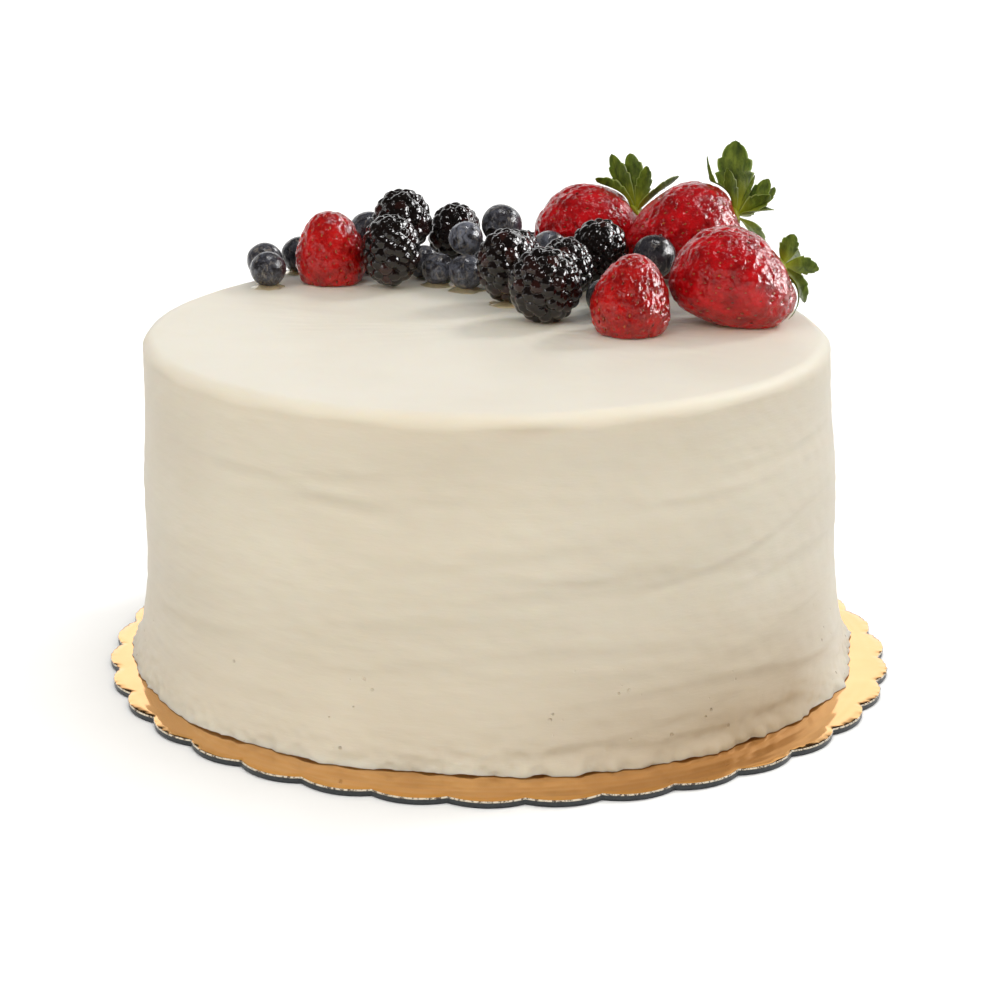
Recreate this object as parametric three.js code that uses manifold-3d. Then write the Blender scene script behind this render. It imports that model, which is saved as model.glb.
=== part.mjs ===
// A round layer cake covered in smooth white frosting, on a scalloped foil cake board,
// with a crescent of fresh berries heaped along the back and the right of its top.
// Millimetres, +Z up. The origin is the centre of the board's underside.

import * as THREE from 'three';
import { mergeVertices } from 'three/addons/utils/BufferGeometryUtils.js';
import loadManifold from 'manifold-3d';

const manifold = await loadManifold();
manifold.setup();

// ---------------------------------------------------------------- driving dimensions

// Cake board: a ten inch foil-covered card disc with a scalloped rim.
const BOARD_THICKNESS = 2.4;
const BOARD_NOTCH_RADIUS = 124.2;     // from the centre to the notches between scallops
const BOARD_SCALLOP_RADIUS = 127;     // from the centre to the tops of the scallops
const BOARD_SCALLOPS = 35;
const BOARD_TURN = THREE.MathUtils.degToRad(6.2);
const BOARD_ARC_STEPS = 3;             // half the straight pieces in each scallop

// Frosted cake: an eight inch cake with its frosting, a little wider at the foot.
const CAKE_HEIGHT = 106.4;
const CAKE_TOP_RADIUS = 107;
const CAKE_BELLY = 3.6;               // how much wider the wall is low down than at the top
const CAKE_BELLY_POWER = 2.2;
const CAKE_FOOT_FLARE = 5.1;          // frosting pushed outwards where it meets the board
const CAKE_FOOT_HEIGHT = 11;
const CAKE_EDGE_RADIUS = 4.5;         // soft rounded top edge
const CAKE_CENTRE = new THREE.Vector2(-2.25, 3.2);
const CAKE_LEAN = -2.2;               // the top sits this far to the left of the foot
const CAKE_OVAL = 1.3;                // the cake is slightly wider across than it is deep
const CAKE_AROUND = 62;
const CAKE_WALL_ROWS = 12;
const CAKE_EDGE_ROWS = 4;
const CAKE_TOP_ROWS = 2;

// Berries.
const CLEARANCE = 0.3;                // between a berry and whatever it rests on
const BRAMBLE_PRESS = 0.8;            // how far a bramble is pressed into the frosting
const BLUEBERRY_PRESS = 0.4;
const CALYX_SEAT = 0.9;               // between a strawberry's shoulder and its calyx
const LEAF_CLEARANCE = 1.2;           // between the shoulder and the middle of a leaf's blade
const LEAF_THICKNESS = 0.7;
const BLUEBERRY_FLATTENING = 0.96;
const DRUPELET_RELIEF = 0.09;         // depth between drupelets, as a share of the radius
const DRUPELET_REACH = 0.3;           // from a drupelet's top to the furrow, in radians

const boardTop = BOARD_THICKNESS;
const cakeTop = boardTop + CAKE_HEIGHT;

// ---------------------------------------------------------------- materials

const finish = (color, roughness, metalness = 0) =>
  new THREE.MeshStandardMaterial({ color, roughness, metalness });
const foil = finish(0xd9a35c, 0.25, 1);
const frosting = finish(0xe6dcc8, 0.6);
const blueSkin = finish(0x39415a, 0.3);
const blackSkin = finish(0x17120f, 0.2);
const redSkin = finish(0xa8101c, 0.2);
const leafGreen = finish(0x55701f, 0.5);

// ---------------------------------------------------------------- making closed bodies

const cake = new THREE.Group();

/** Adds one named body to the model, lit by normals worked out from its faces. */
function add(name, geometry, material) {
  geometry.computeVertexNormals();
  const mesh = new THREE.Mesh(geometry, material.clone());
  mesh.name = name;
  cake.add(mesh);
  return mesh;
}

/** The geometry with its equal vertices joined and only its positions left. */
function welded(geometry) {
  geometry.deleteAttribute('normal');
  geometry.deleteAttribute('uv');
  return mergeVertices(geometry, 1e-4);
}

/** A geometry from a flat list of coordinates and a list of triangle corners. */
function indexed(positions, corners) {
  const geometry = new THREE.BufferGeometry();
  geometry.setAttribute('position', new THREE.Float32BufferAttribute(positions, 3));
  geometry.setIndex(corners);
  return geometry;
}

/**
 * A closed body of rings stacked from a lower pole to an upper pole.
 * pointAt(row, angle) gives a vertex; rows 0 and rows are the two poles.
 */
function ringed(rows, around, pointAt) {
  const positions = [...pointAt(0, 0).toArray()];
  const corners = [];
  const vertex = (row, step) => 1 + (row - 1) * around + (step % around);
  for (let row = 1; row < rows; row++) {
    for (let step = 0; step < around; step++) {
      positions.push(...pointAt(row, (step / around) * 2 * Math.PI).toArray());
    }
  }
  const top = positions.length / 3;
  positions.push(...pointAt(rows, 0).toArray());
  for (let step = 0; step < around; step++) {
    corners.push(0, vertex(1, step + 1), vertex(1, step));
    for (let row = 1; row < rows - 1; row++) {
      const [a, b] = [vertex(row, step), vertex(row, step + 1)];
      const [c, d] = [vertex(row + 1, step + 1), vertex(row + 1, step)];
      corners.push(a, b, c, a, c, d);
    }
    corners.push(vertex(rows - 1, step), vertex(rows - 1, step + 1), top);
  }
  return indexed(positions, corners);
}

/** A manifold solid from a closed geometry, and back. */
function toSolid(geometry) {
  const vertProperties = new Float32Array(geometry.attributes.position.array);
  const triVerts = new Uint32Array(geometry.index.array);
  const mesh = new manifold.Mesh({ numProp: 3, vertProperties, triVerts });
  return new manifold.Manifold(mesh);
}
function fromSolid(solid) {
  const { vertProperties, triVerts } = solid.getMesh();
  return indexed([...vertProperties], [...triVerts]);
}

/** Turns a body made about +Z so that its axis points along axis. */
function turned(geometry, axis) {
  const turn = new THREE.Quaternion().setFromUnitVectors(new THREE.Vector3(0, 0, 1), axis);
  return geometry.applyQuaternion(turn);
}

/** The direction that leans lean degrees from upright towards bearing degrees from +X. */
function leaning(lean, bearing) {
  const [tilt, round] = [lean, bearing].map(THREE.MathUtils.degToRad);
  const flat = Math.sin(tilt);
  return new THREE.Vector3(flat * Math.cos(round), flat * Math.sin(round), Math.cos(tilt));
}

// ---------------------------------------------------------------- the cake board

/** A disc whose rim is a ring of shallow arcs that meet in sharp notches. */
function boardGeometry() {
  const half = Math.PI / BOARD_SCALLOPS;
  const halfChord = BOARD_NOTCH_RADIUS * Math.sin(half);
  const rise = BOARD_SCALLOP_RADIUS - BOARD_NOTCH_RADIUS * Math.cos(half);
  const arcRadius = (halfChord ** 2 + rise ** 2) / (2 * rise);
  const arcCentre = BOARD_SCALLOP_RADIUS - arcRadius;
  const opening = Math.asin(halfChord / arcRadius);
  const outline = new THREE.Shape();
  for (let k = 0; k < BOARD_SCALLOPS; k++) {
    const middle = BOARD_TURN + (2 * k + 1) * half;
    outline.absarc(arcCentre * Math.cos(middle), arcCentre * Math.sin(middle), arcRadius,
      middle - opening, middle + opening, false);
  }
  return welded(new THREE.ExtrudeGeometry(outline,
    { depth: BOARD_THICKNESS, bevelEnabled: false, curveSegments: BOARD_ARC_STEPS }));
}
add('cake_board', boardGeometry(), foil);

// ---------------------------------------------------------------- the frosted cake

/** The wall's radius at a height above the board, without the marks of the spatula. */
function wallRadius(height) {
  const belly = CAKE_BELLY * (1 - (height / CAKE_HEIGHT) ** CAKE_BELLY_POWER);
  return CAKE_TOP_RADIUS + belly + CAKE_FOOT_FLARE * Math.exp(-height / CAKE_FOOT_HEIGHT);
}

/** How far the spatula left the wall proud or hollow at a height and an angle. */
function wallRelief(height, angle) {
  const bands = 0.35 * Math.sin(height / 7.5 + 1.2 * Math.sin(2 * angle));
  const sweeps = 0.3 * Math.sin(5 * angle + height / 30);
  const foot = 0.9 * Math.exp(-height / 9) * Math.sin(9 * angle + 2 * Math.sin(3 * angle));
  return bands + sweeps + foot;
}

/** A point on the cake's centre line. */
function cakeAxis(height) {
  return new THREE.Vector2(CAKE_CENTRE.x + CAKE_LEAN * height / CAKE_HEIGHT, CAKE_CENTRE.y);
}

/** A point of the frosting at a height, with the radius it has there before the oval. */
function frostingPoint(height, radius, angle) {
  const oval = CAKE_OVAL * (1 + Math.exp(-height / CAKE_FOOT_HEIGHT)) * Math.cos(2 * angle);
  const reach = radius + oval * radius / CAKE_TOP_RADIUS;
  const middle = cakeAxis(height);
  return new THREE.Vector3(middle.x + reach * Math.cos(angle),
    middle.y + reach * Math.sin(angle), boardTop + height);
}

/** Rows run from the middle of the foot, up the wall, round the edge and over the top. */
function cakeGeometry() {
  const edgeStart = CAKE_HEIGHT - CAKE_EDGE_RADIUS;
  const lastWall = 1 + CAKE_WALL_ROWS;
  const lastEdge = lastWall + CAKE_EDGE_ROWS;
  const rows = lastEdge + CAKE_TOP_ROWS;
  return ringed(rows, CAKE_AROUND, (row, angle) => {
    if (row === 0) return frostingPoint(0, 0, angle);
    if (row <= lastWall) {
      const height = edgeStart * ((row - 1) / CAKE_WALL_ROWS) ** 1.25;
      return frostingPoint(height, wallRadius(height) + wallRelief(height, angle), angle);
    }
    const rimRadius = CAKE_TOP_RADIUS + wallRelief(edgeStart, angle) - CAKE_EDGE_RADIUS;
    if (row <= lastEdge) {
      const turn = ((row - lastWall) / CAKE_EDGE_ROWS) * Math.PI / 2;
      return frostingPoint(edgeStart + CAKE_EDGE_RADIUS * Math.sin(turn),
        rimRadius + CAKE_EDGE_RADIUS * Math.cos(turn), angle);
    }
    const inwards = (rows - row) / CAKE_TOP_ROWS;
    const dip = 0.25 * (1 - Math.cos(3 * angle)) * inwards * (1 - inwards);
    return frostingPoint(CAKE_HEIGHT - dip, rimRadius * inwards, angle);
  });
}
add('frosted_cake', cakeGeometry(), frosting);

// ---------------------------------------------------------------- how the heap settles

const settled = [];                   // balls that stand for what has been placed so far
const ROUNDING = 1e-6;

/** The height of the frosting's top at x, y: flat, then round over the edge. */
function frostingHeight(x, y) {
  const middle = cakeAxis(CAKE_HEIGHT);
  const past = Math.hypot(x - middle.x, y - middle.y) - (CAKE_TOP_RADIUS - CAKE_EDGE_RADIUS);
  if (past <= 0) return cakeTop;
  if (past >= CAKE_EDGE_RADIUS) return -Infinity;
  return cakeTop - CAKE_EDGE_RADIUS + Math.sqrt(CAKE_EDGE_RADIUS ** 2 - past ** 2);
}

/**
 * Sets a berry down at x, y: pressed into the frosting where there is room for it, or else
 * just high enough to clear the balls of its neighbours. Moves its geometry, cuts off what
 * would be inside the frosting and returns its centre.
 */
function settle(geometry, x, y, balls, press) {
  const corners = geometry.attributes.position;
  let height = -Infinity;
  for (let i = 0; i < corners.count; i++) {
    const floor = frostingHeight(x + corners.getX(i), y + corners.getY(i));
    height = Math.max(height, floor + CLEARANCE - corners.getZ(i));
  }
  height -= press;
  for (let lifted = true; lifted;) {
    lifted = false;
    for (const ball of balls) {
      for (const other of settled) {
        const [dx, dy] = [x + ball.offset.x - other.centre.x, y + ball.offset.y - other.centre.y];
        const touching = ball.radius + other.radius + CLEARANCE;
        const above = height + ball.offset.z - other.centre.z;
        if (Math.hypot(dx, dy, above) < touching - ROUNDING) {
          height = other.centre.z + Math.sqrt(touching ** 2 - dx ** 2 - dy ** 2) - ball.offset.z;
          lifted = true;
        }
      }
    }
  }
  const centre = new THREE.Vector3(x, y, height);
  for (const ball of balls) {
    settled.push({ centre: centre.clone().add(ball.offset), radius: ball.radius });
  }
  const solid = toSolid(geometry.translate(...centre.toArray()));
  geometry.copy(fromSolid(solid.trimByPlane([0, 0, 1], cakeTop + CLEARANCE)));
  return centre;
}

// ---------------------------------------------------------------- strawberries

const STRAWBERRY_AROUND = 18;
const STRAWBERRY_ROWS = 11;
const STRAWBERRY_LUMPS = 0.025;
const SHOULDER_BIAS = 1.4;            // above 1 the widest part moves towards the shoulder
const SHOULDER_DIMPLE = 0.07;         // how far the shoulder sinks at the calyx
const DIMPLE_WIDTH = 0.16;

/** A strawberry's radius from tip (0) to shoulder (1), for a unit width. */
function strawberryRadius(along, taper) {
  const swell = Math.sin(Math.PI * Math.min(along, 1) ** SHOULDER_BIAS);
  return 0.5 * Math.max(0, swell) ** taper;
}

/** How far the shoulder sinks below its rim at a distance from the axis. */
function dimple({ length, width }, distance) {
  return SHOULDER_DIMPLE * length * Math.exp(-((distance / (DIMPLE_WIDTH * width)) ** 2));
}

/** How high the shoulder stands above the berry's middle at a distance from the axis. */
function shoulderHeight(berry, distance) {
  const share = Math.min(1, 2 * distance / (berry.width * (1 + 1.5 * STRAWBERRY_LUMPS)));
  const along = (1 - Math.asin(share ** (1 / berry.taper)) / Math.PI) ** (1 / SHOULDER_BIAS);
  return berry.length * (along - 0.5) - dimple(berry, distance);
}

/**
 * A strawberry about its middle, tip down: a blunt cone with a dimpled shoulder. slant
 * slides its sections along the axis, so that the shoulder slopes.
 */
function strawberryGeometry(berry) {
  const { length, width, taper } = berry;
  return ringed(STRAWBERRY_ROWS, STRAWBERRY_AROUND, (row, angle) => {
    const along = (1 - Math.cos(Math.PI * row / STRAWBERRY_ROWS)) / 2;
    const lumps = STRAWBERRY_LUMPS * (Math.cos(2 * angle + 1) + 0.5 * Math.cos(3 * angle));
    const radius = width * strawberryRadius(along, taper) * (1 + lumps);
    const x = radius * Math.cos(angle);
    const sunk = along > 0.7 ? dimple(berry, radius) : 0;
    const z = length * (along - 0.5) - sunk + berry.slant * x;
    return new THREE.Vector3(x, radius * Math.sin(angle), z);
  });
}

/** Balls along the axis that fill the strawberry without passing its shoulder. */
function strawberryBalls({ length, width, taper }, axis) {
  return [0.1, 0.2, 0.3, 0.4, 0.5, 0.6, 0.7, 0.8].map((along) => ({
    offset: axis.clone().multiplyScalar(length * (along - 0.5)),
    radius: Math.min(width * strawberryRadius(along, taper), length * (1 - along)),
  }));
}

// ---------------------------------------------------------------- calyx leaves

const LEAF_STEPS = 4;                 // triangles' rows along a leaf
const LEAF_HALVES = 2;                // and across it
const LEAF_ROOT = 0.6;                // leaves start this far from the calyx centre
const LEAF_BIAS = 1.25;               // above 1 the widest part moves towards the tip

/**
 * A thin wavy leaf from the origin to tip. bow lifts its middle off the straight line,
 * towards out, and twist turns the blade about its own length, in degrees. drape moves a
 * point of the blade clear of the berry.
 */
function leafGeometry({ tip, width, bow, twist }, out, drape) {
  const end = new THREE.Vector3(...tip);
  const along = end.clone().normalize();
  const lift = out.clone().addScaledVector(along, -out.dot(along)).normalize();
  const bend = end.clone().multiplyScalar(0.5).addScaledVector(lift, bow);
  const root = along.clone().multiplyScalar(LEAF_ROOT);
  const spine = new THREE.QuadraticBezierCurve3(root, bend, end);
  const positions = [];
  const corners = [];
  const across = LEAF_HALVES + 1;
  for (const face of [-1, 1]) {
    for (let i = 0; i <= LEAF_STEPS; i++) {
      const u = i / LEAF_STEPS;
      const tangent = spine.getTangent(u);
      const normal = lift.clone().addScaledVector(tangent, -lift.dot(tangent)).normalize()
        .applyAxisAngle(tangent, THREE.MathUtils.degToRad(twist));
      const side = new THREE.Vector3().crossVectors(normal, tangent);
      const half = width / 2 * (0.1 + 0.9 * Math.sin(Math.PI * u ** LEAF_BIAS) ** 0.8);
      for (let j = 0; j < across; j++) {
        const v = 2 * j / LEAF_HALVES - 1;
        const wave = 0.05 * width * (Math.sin(7 * u + 2 * v) - 2 * v * v);
        const point = drape(spine.getPoint(u).addScaledVector(side, v * half))
          .addScaledVector(normal, wave + face * LEAF_THICKNESS / 2);
        positions.push(...point.toArray());
      }
    }
  }
  const layer = (LEAF_STEPS + 1) * across;
  const at = (face, i, j) => face * layer + i * across + j;
  const quad = (a, b, c, d) => corners.push(a, b, c, a, c, d);
  for (let i = 0; i < LEAF_STEPS; i++) {
    for (let j = 0; j < LEAF_HALVES; j++) {
      quad(at(0, i, j), at(0, i, j + 1), at(0, i + 1, j + 1), at(0, i + 1, j));
      corners.push(at(1, i, j), at(1, i + 1, j + 1), at(1, i, j + 1));
      corners.push(at(1, i, j), at(1, i + 1, j), at(1, i + 1, j + 1));
    }
    quad(at(0, i, 0), at(0, i + 1, 0), at(1, i + 1, 0), at(1, i, 0));
    quad(at(1, i, LEAF_HALVES), at(1, i + 1, LEAF_HALVES),
      at(0, i + 1, LEAF_HALVES), at(0, i, LEAF_HALVES));
  }
  for (let j = 0; j < LEAF_HALVES; j++) {
    quad(at(0, 0, j), at(1, 0, j), at(1, 0, j + 1), at(0, 0, j + 1));
    quad(at(1, LEAF_STEPS, j), at(0, LEAF_STEPS, j),
      at(0, LEAF_STEPS, j + 1), at(1, LEAF_STEPS, j + 1));
  }
  return indexed(positions, corners);
}

const HUB_RADIUS = 3.2;
const HUB_THICKNESS = 1.8;
const HUB_SIDES = 10;

/** A calyx on a berry at centre: leaves that grow out of a small hub, as one body. */
function calyxGeometry(berry, centre, axis, leaves) {
  const seat = berry.length * (0.5 - SHOULDER_DIMPLE) + CALYX_SEAT + HUB_THICKNESS / 2;
  const turn = new THREE.Quaternion().setFromUnitVectors(new THREE.Vector3(0, 0, 1), axis);
  const acrossSlant = new THREE.Vector3(1, 0, 0).applyQuaternion(turn);
  const out = axis.clone().addScaledVector(acrossSlant, -berry.slant).normalize();
  const drape = (point) => {
    const up = point.dot(axis);
    const distance = point.clone().addScaledVector(axis, -up).length();
    const slope = berry.slant * point.dot(acrossSlant);
    const lowest = shoulderHeight(berry, distance) + slope + LEAF_CLEARANCE - seat;
    const under = 2 * distance < berry.width && distance > HUB_RADIUS;
    return point.addScaledVector(axis, under ? Math.max(0, lowest - up) : 0);
  };
  const disc = new THREE.CylinderGeometry(HUB_RADIUS * 0.7, HUB_RADIUS, HUB_THICKNESS, HUB_SIDES);
  const hub = turned(welded(disc.rotateX(Math.PI / 2)), out);
  let solid = toSolid(hub);
  for (const leaf of leaves) solid = solid.add(toSolid(leafGeometry(leaf, out, drape)));
  // Leaves that cross can close off a tiny pocket between them: only the outside is kept.
  const [outside] = solid.decompose().sort((a, b) => b.volume() - a.volume());
  return fromSolid(outside).translate(...centre.clone().addScaledVector(axis, seat).toArray());
}

// ---------------------------------------------------------------- brambles

const DRUPELET_DETAIL = 3;            // each face of an icosahedron split in four by four
const drupeletTops = welded(new THREE.IcosahedronGeometry(1, 1)).attributes.position;

/** 1 on top of a drupelet, falling to 0 in the furrows between them. */
function drupeletSwell(direction) {
  let nearest = -1;
  for (let i = 0; i < drupeletTops.count; i++) {
    const top = new THREE.Vector3().fromBufferAttribute(drupeletTops, i);
    nearest = Math.max(nearest, direction.dot(top));
  }
  return Math.max(0, 1 - Math.acos(Math.min(1, nearest)) / DRUPELET_REACH);
}

/** A bramble about its middle: an upright egg of swollen drupelets. */
function brambleGeometry(width, height) {
  const geometry = welded(new THREE.IcosahedronGeometry(1, DRUPELET_DETAIL));
  const positions = geometry.attributes.position;
  const point = new THREE.Vector3();
  for (let i = 0; i < positions.count; i++) {
    point.fromBufferAttribute(positions, i).normalize();
    const swell = 1 - DRUPELET_RELIEF * (1 - drupeletSwell(point));
    point.multiply(new THREE.Vector3(width / 2, width / 2, height / 2)).multiplyScalar(swell);
    positions.setXYZ(i, ...point.toArray());
  }
  return geometry;
}

/** Two balls, one above the other, that fill a bramble's outline. */
function brambleBalls(width, height, axis) {
  const apart = (height - width) / 2;
  return [-apart, apart].map((step) => ({
    offset: axis.clone().multiplyScalar(step),
    radius: width / 2,
  }));
}

// ---------------------------------------------------------------- blueberries

const BLUEBERRY_AROUND = 10;
const CROWN_RADIUS = 0.42;            // the crown's rim, as a share of the berry's radius
const CROWN_DEPTH = 0.16;

/** A blueberry about its middle: a flattened ball with a sunken crown on top. */
function blueberryGeometry(radius) {
  const belly = [0.52, 1.02, 1.52, 2.02].map((polar) => [Math.sin(polar), -Math.cos(polar)]);
  const crown = [[CROWN_RADIUS, Math.cos(Math.asin(CROWN_RADIUS)) + 0.06],
    [CROWN_RADIUS * 0.62, Math.cos(Math.asin(CROWN_RADIUS)) - CROWN_DEPTH * 0.6]];
  const profile = [[0, -1], ...belly, ...crown, [0, 0.98 - 1.4 * CROWN_DEPTH]];
  return ringed(profile.length - 1, BLUEBERRY_AROUND, (row, angle) => {
    const [out, up] = profile[row];
    return new THREE.Vector3(out * Math.cos(angle), out * Math.sin(angle),
      up * BLUEBERRY_FLATTENING).multiplyScalar(radius);
  });
}

// ---------------------------------------------------------------- the heap

/** Strawberries lie on their sides, tips to the left, or stand hulled with the tip up. */
const strawberries = [
  { name: 'strawberry_front', x: 72.6, y: 10, length: 37.2, width: 35.4, taper: 0.38,
    slant: 0.27, lean: 74.7, bearing: 6, press: 1.7 },
  { name: 'strawberry_back', x: 30.2, y: 94.2, length: 37.7, width: 32.4, taper: 0.41,
    slant: 0.33, lean: 69.2, bearing: 3, press: 0 },
  { name: 'strawberry_middle', x: 61.8, y: 74.2, length: 42, width: 33, taper: 0.4,
    slant: 0, lean: 69.5, bearing: 3, press: 0 },
  { name: 'hulled_strawberry_left', x: -58.4, y: 68.5, length: 27.5, width: 23.4, taper: 0.29,
    slant: 0, lean: 176, bearing: 0, press: 3.3 },
  { name: 'hulled_strawberry_right', x: 40.9, y: -3, length: 29, width: 24.6, taper: 0.36,
    slant: 0, lean: 175, bearing: 160, press: 3.2 },
];

/** Leaves by the strawberry they belong to: tips from the calyx centre, then the blade. */
const calyxes = {
  strawberry_back: [
    { tip: [-9, 2, 20], width: 6.5, bow: -1, twist: 70 },
    { tip: [-2.5, 3, 20], width: 8, bow: 1, twist: 80 },
    { tip: [-14.5, -1, 12], width: 7, bow: 1, twist: 60 },
    { tip: [3.3, -2, 16.5], width: 5.5, bow: 1, twist: 80 },
    { tip: [14.5, -2, 11.3], width: 5, bow: -7, twist: 70 },
    { tip: [-3, 14, 8], width: 7, bow: 3, twist: 10 },
    { tip: [4, 12, -6], width: 6, bow: 2, twist: 0 },
  ],
  strawberry_middle: [
    { tip: [-0.6, 3, 25.3], width: 12.5, bow: -1, twist: 80 },
    { tip: [-3.6, -1, 16.5], width: 4.5, bow: 0, twist: 75 },
    { tip: [-10, 5, 19.5], width: 3, bow: -5, twist: 30 },
    { tip: [6.1, 0, 14], width: 1.6, bow: 0.5, twist: 60 },
    { tip: [11, 1, 12.5], width: 7, bow: 2, twist: 65 },
    { tip: [13.5, 4, 9], width: 6, bow: 3, twist: 55 },
    { tip: [11.5, -2, 7.5], width: 7, bow: 1.5, twist: 75 },
    { tip: [12.8, -4, 2.8], width: 5.5, bow: 1.5, twist: 65 },
    { tip: [9.8, -8, -10], width: 6, bow: 2, twist: 45 },
    { tip: [5, 14, 3], width: 8, bow: 3, twist: 0 },
  ],
  strawberry_front: [
    { tip: [3.5, 0, 10.3], width: 6, bow: 0, twist: 75 },
    { tip: [11.8, -2, -0.8], width: 6, bow: 1, twist: 80 },
    { tip: [7.5, -3, -11.5], width: 5, bow: 3, twist: 70 },
    { tip: [2, -7, -16], width: 4.5, bow: 4, twist: 60 },
    { tip: [6, 12, 5], width: 7, bow: 2, twist: 10 },
    { tip: [5, 11, -8], width: 6, bow: 2, twist: 0 },
  ],
};

/** Brambles that stand on the cake, and one that rides on its neighbours. */
const brambles = [
  { x: 14, y: 12, width: 24.2, height: 26, lean: 20, bearing: 250 },
  { x: 1.6, y: 36.6, width: 19.6, height: 26.2, lean: 6, bearing: 180 },
  { x: -37.6, y: 60.1, width: 20.4, height: 25.6, lean: 5, bearing: 90 },
  { x: 33, y: 60.5, width: 20.2, height: 24.6, lean: 8, bearing: 30 },
  { x: -16.7, y: 99.5, width: 18.8, height: 22.6, lean: 12, bearing: 20 },
  { x: 5, y: 60.2, width: 18.4, height: 21.2, lean: 10, bearing: 300 },
  { x: 21.2, y: 43.8, width: 19.2, height: 22.2, lean: 14, bearing: 90 },
  { x: 72, y: 43, width: 19.2, height: 21.8, lean: 16, bearing: 200 },
];
const topBramble = { x: -34.8, y: 86, width: 20.8, height: 23.2, lean: 4, bearing: 0 };

/** Blueberries on the cake, then the ones that lie on other berries. */
const blueberries = [
  { x: -81.6, y: 74, radius: 6.4, lean: 70, bearing: 110 },
  { x: -79.3, y: 59.5, radius: 6.3, lean: 65, bearing: 100 },
  { x: -70.4, y: 83.2, radius: 6.6, lean: 60, bearing: 100 },
  { x: -21.6, y: 64.6, radius: 5.9, lean: 50, bearing: 60 },
  { x: -11.8, y: 56.3, radius: 6.3, lean: 55, bearing: 75 },
  { x: 8.6, y: 105.3, radius: 5.7, lean: 20, bearing: 0 },
  { x: -56.3, y: 88.8, radius: 6.2, lean: 50, bearing: 80 },
  { x: -35.5, y: 99.2, radius: 6.0, lean: 80, bearing: 95 },
  { x: -46.2, y: 82, radius: 5.6, lean: 15, bearing: 10 },
  { x: -27, y: 75.8, radius: 6.0, lean: 40, bearing: 190 },
  { x: -4.5, y: 72.6, radius: 6.1, lean: 65, bearing: 310 },
  { x: -8.5, y: 85.6, radius: 6.0, lean: 25, bearing: 60 },
  { x: 7.8, y: 81.1, radius: 5.8, lean: 100, bearing: 220 },
  { x: 0, y: 96.3, radius: 6.0, lean: 75, bearing: 100 },
  { x: 38.2, y: 31.9, radius: 5.7, lean: 45, bearing: 270 },
  { x: 42.4, y: 43.4, radius: 6.2, lean: 30, bearing: 150 },
  { x: 33.5, y: 19.8, radius: 6.5, lean: 55, bearing: 20 },
  { x: 47.5, y: 19.5, radius: 6.2, lean: 85, bearing: 60 },
  { x: 87.6, y: 38, radius: 6.3, lean: 35, bearing: 20 },
  { x: 85, y: 53.2, radius: 6.2, lean: 70, bearing: 340 },
  { x: -47.2, y: 98, radius: 7, lean: 70, bearing: 100 },
  { x: -12.4, y: 70, radius: 6.1, lean: 55, bearing: 100 },
  { x: 0, y: 88, radius: 7.3, lean: 110, bearing: 240 },
  { x: 16.4, y: 74, radius: 6.4, lean: 60, bearing: 90 },
  { x: 51.2, y: 51.6, radius: 7.6, lean: 55, bearing: 60 },
];

for (const berry of strawberries) {
  const axis = leaning(berry.lean, berry.bearing);
  const body = turned(strawberryGeometry(berry), axis);
  const centre = settle(body, berry.x, berry.y, strawberryBalls(berry, axis), berry.press);
  add(berry.name, body, redSkin);
  if (calyxes[berry.name]) {
    const name = berry.name.replace('strawberry', 'calyx');
    add(name, calyxGeometry(berry, centre, axis, calyxes[berry.name]), leafGreen);
  }
}

function addBramble({ x, y, width, height, lean, bearing }, number) {
  const axis = leaning(lean, bearing);
  const body = turned(brambleGeometry(width, height), axis);
  settle(body, x, y, brambleBalls(width, height, axis), BRAMBLE_PRESS);
  add(`bramble_${number}`, body, blackSkin);
}

function addBlueberry({ x, y, radius, lean, bearing }, number) {
  const body = turned(blueberryGeometry(radius), leaning(lean, bearing));
  settle(body, x, y, [{ offset: new THREE.Vector3(), radius }], BLUEBERRY_PRESS);
  add(`blueberry_${number}`, body, blueSkin);
}

const onCake = 20;                    // how many blueberries lie on the cake itself
brambles.forEach((berry, index) => addBramble(berry, index + 1));
blueberries.slice(0, onCake).forEach((berry, index) => addBlueberry(berry, index + 1));
addBramble(topBramble, brambles.length + 1);
blueberries.slice(onCake).forEach((berry, index) => addBlueberry(berry, onCake + index + 1));

export default cake;
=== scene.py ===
# %% [markdown]
# # A berry cake on a scalloped gold board
# This lesson dresses a solid model of a frosted layer cake. The model gives every piece its
# place and size; here each piece gets a fine surface, worked out with numpy, and a finish
# made of shader nodes. Lengths are millimetres until they go into a mesh, then metres.

# %% Load the solid model
import math

import bpy
import numpy as np
from mathutils import Matrix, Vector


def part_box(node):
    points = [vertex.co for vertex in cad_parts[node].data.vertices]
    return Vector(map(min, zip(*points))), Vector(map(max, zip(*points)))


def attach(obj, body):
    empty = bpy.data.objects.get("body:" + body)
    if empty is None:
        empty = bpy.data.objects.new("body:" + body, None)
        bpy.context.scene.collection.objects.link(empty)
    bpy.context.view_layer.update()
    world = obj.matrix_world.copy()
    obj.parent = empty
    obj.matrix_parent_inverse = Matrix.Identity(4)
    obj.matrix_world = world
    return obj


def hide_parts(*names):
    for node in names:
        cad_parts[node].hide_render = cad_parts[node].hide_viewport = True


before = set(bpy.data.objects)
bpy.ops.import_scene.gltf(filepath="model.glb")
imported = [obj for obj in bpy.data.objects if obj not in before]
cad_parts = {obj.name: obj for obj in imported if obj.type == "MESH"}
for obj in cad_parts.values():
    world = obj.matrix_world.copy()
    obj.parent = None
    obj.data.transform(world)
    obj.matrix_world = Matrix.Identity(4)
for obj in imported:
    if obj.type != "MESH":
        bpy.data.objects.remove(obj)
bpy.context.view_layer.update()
MM = 0.001
print("pieces in the solid model:", len(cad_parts))

# %% [markdown]
# ## The camera
# A cake on a table is seen from a little above. The lens is long, so the round top shows as
# a flat oval with hardly any perspective. The camera is placed by its height, its distance
# and three turns, because those can be measured from the ovals of the board and the top.

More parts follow.
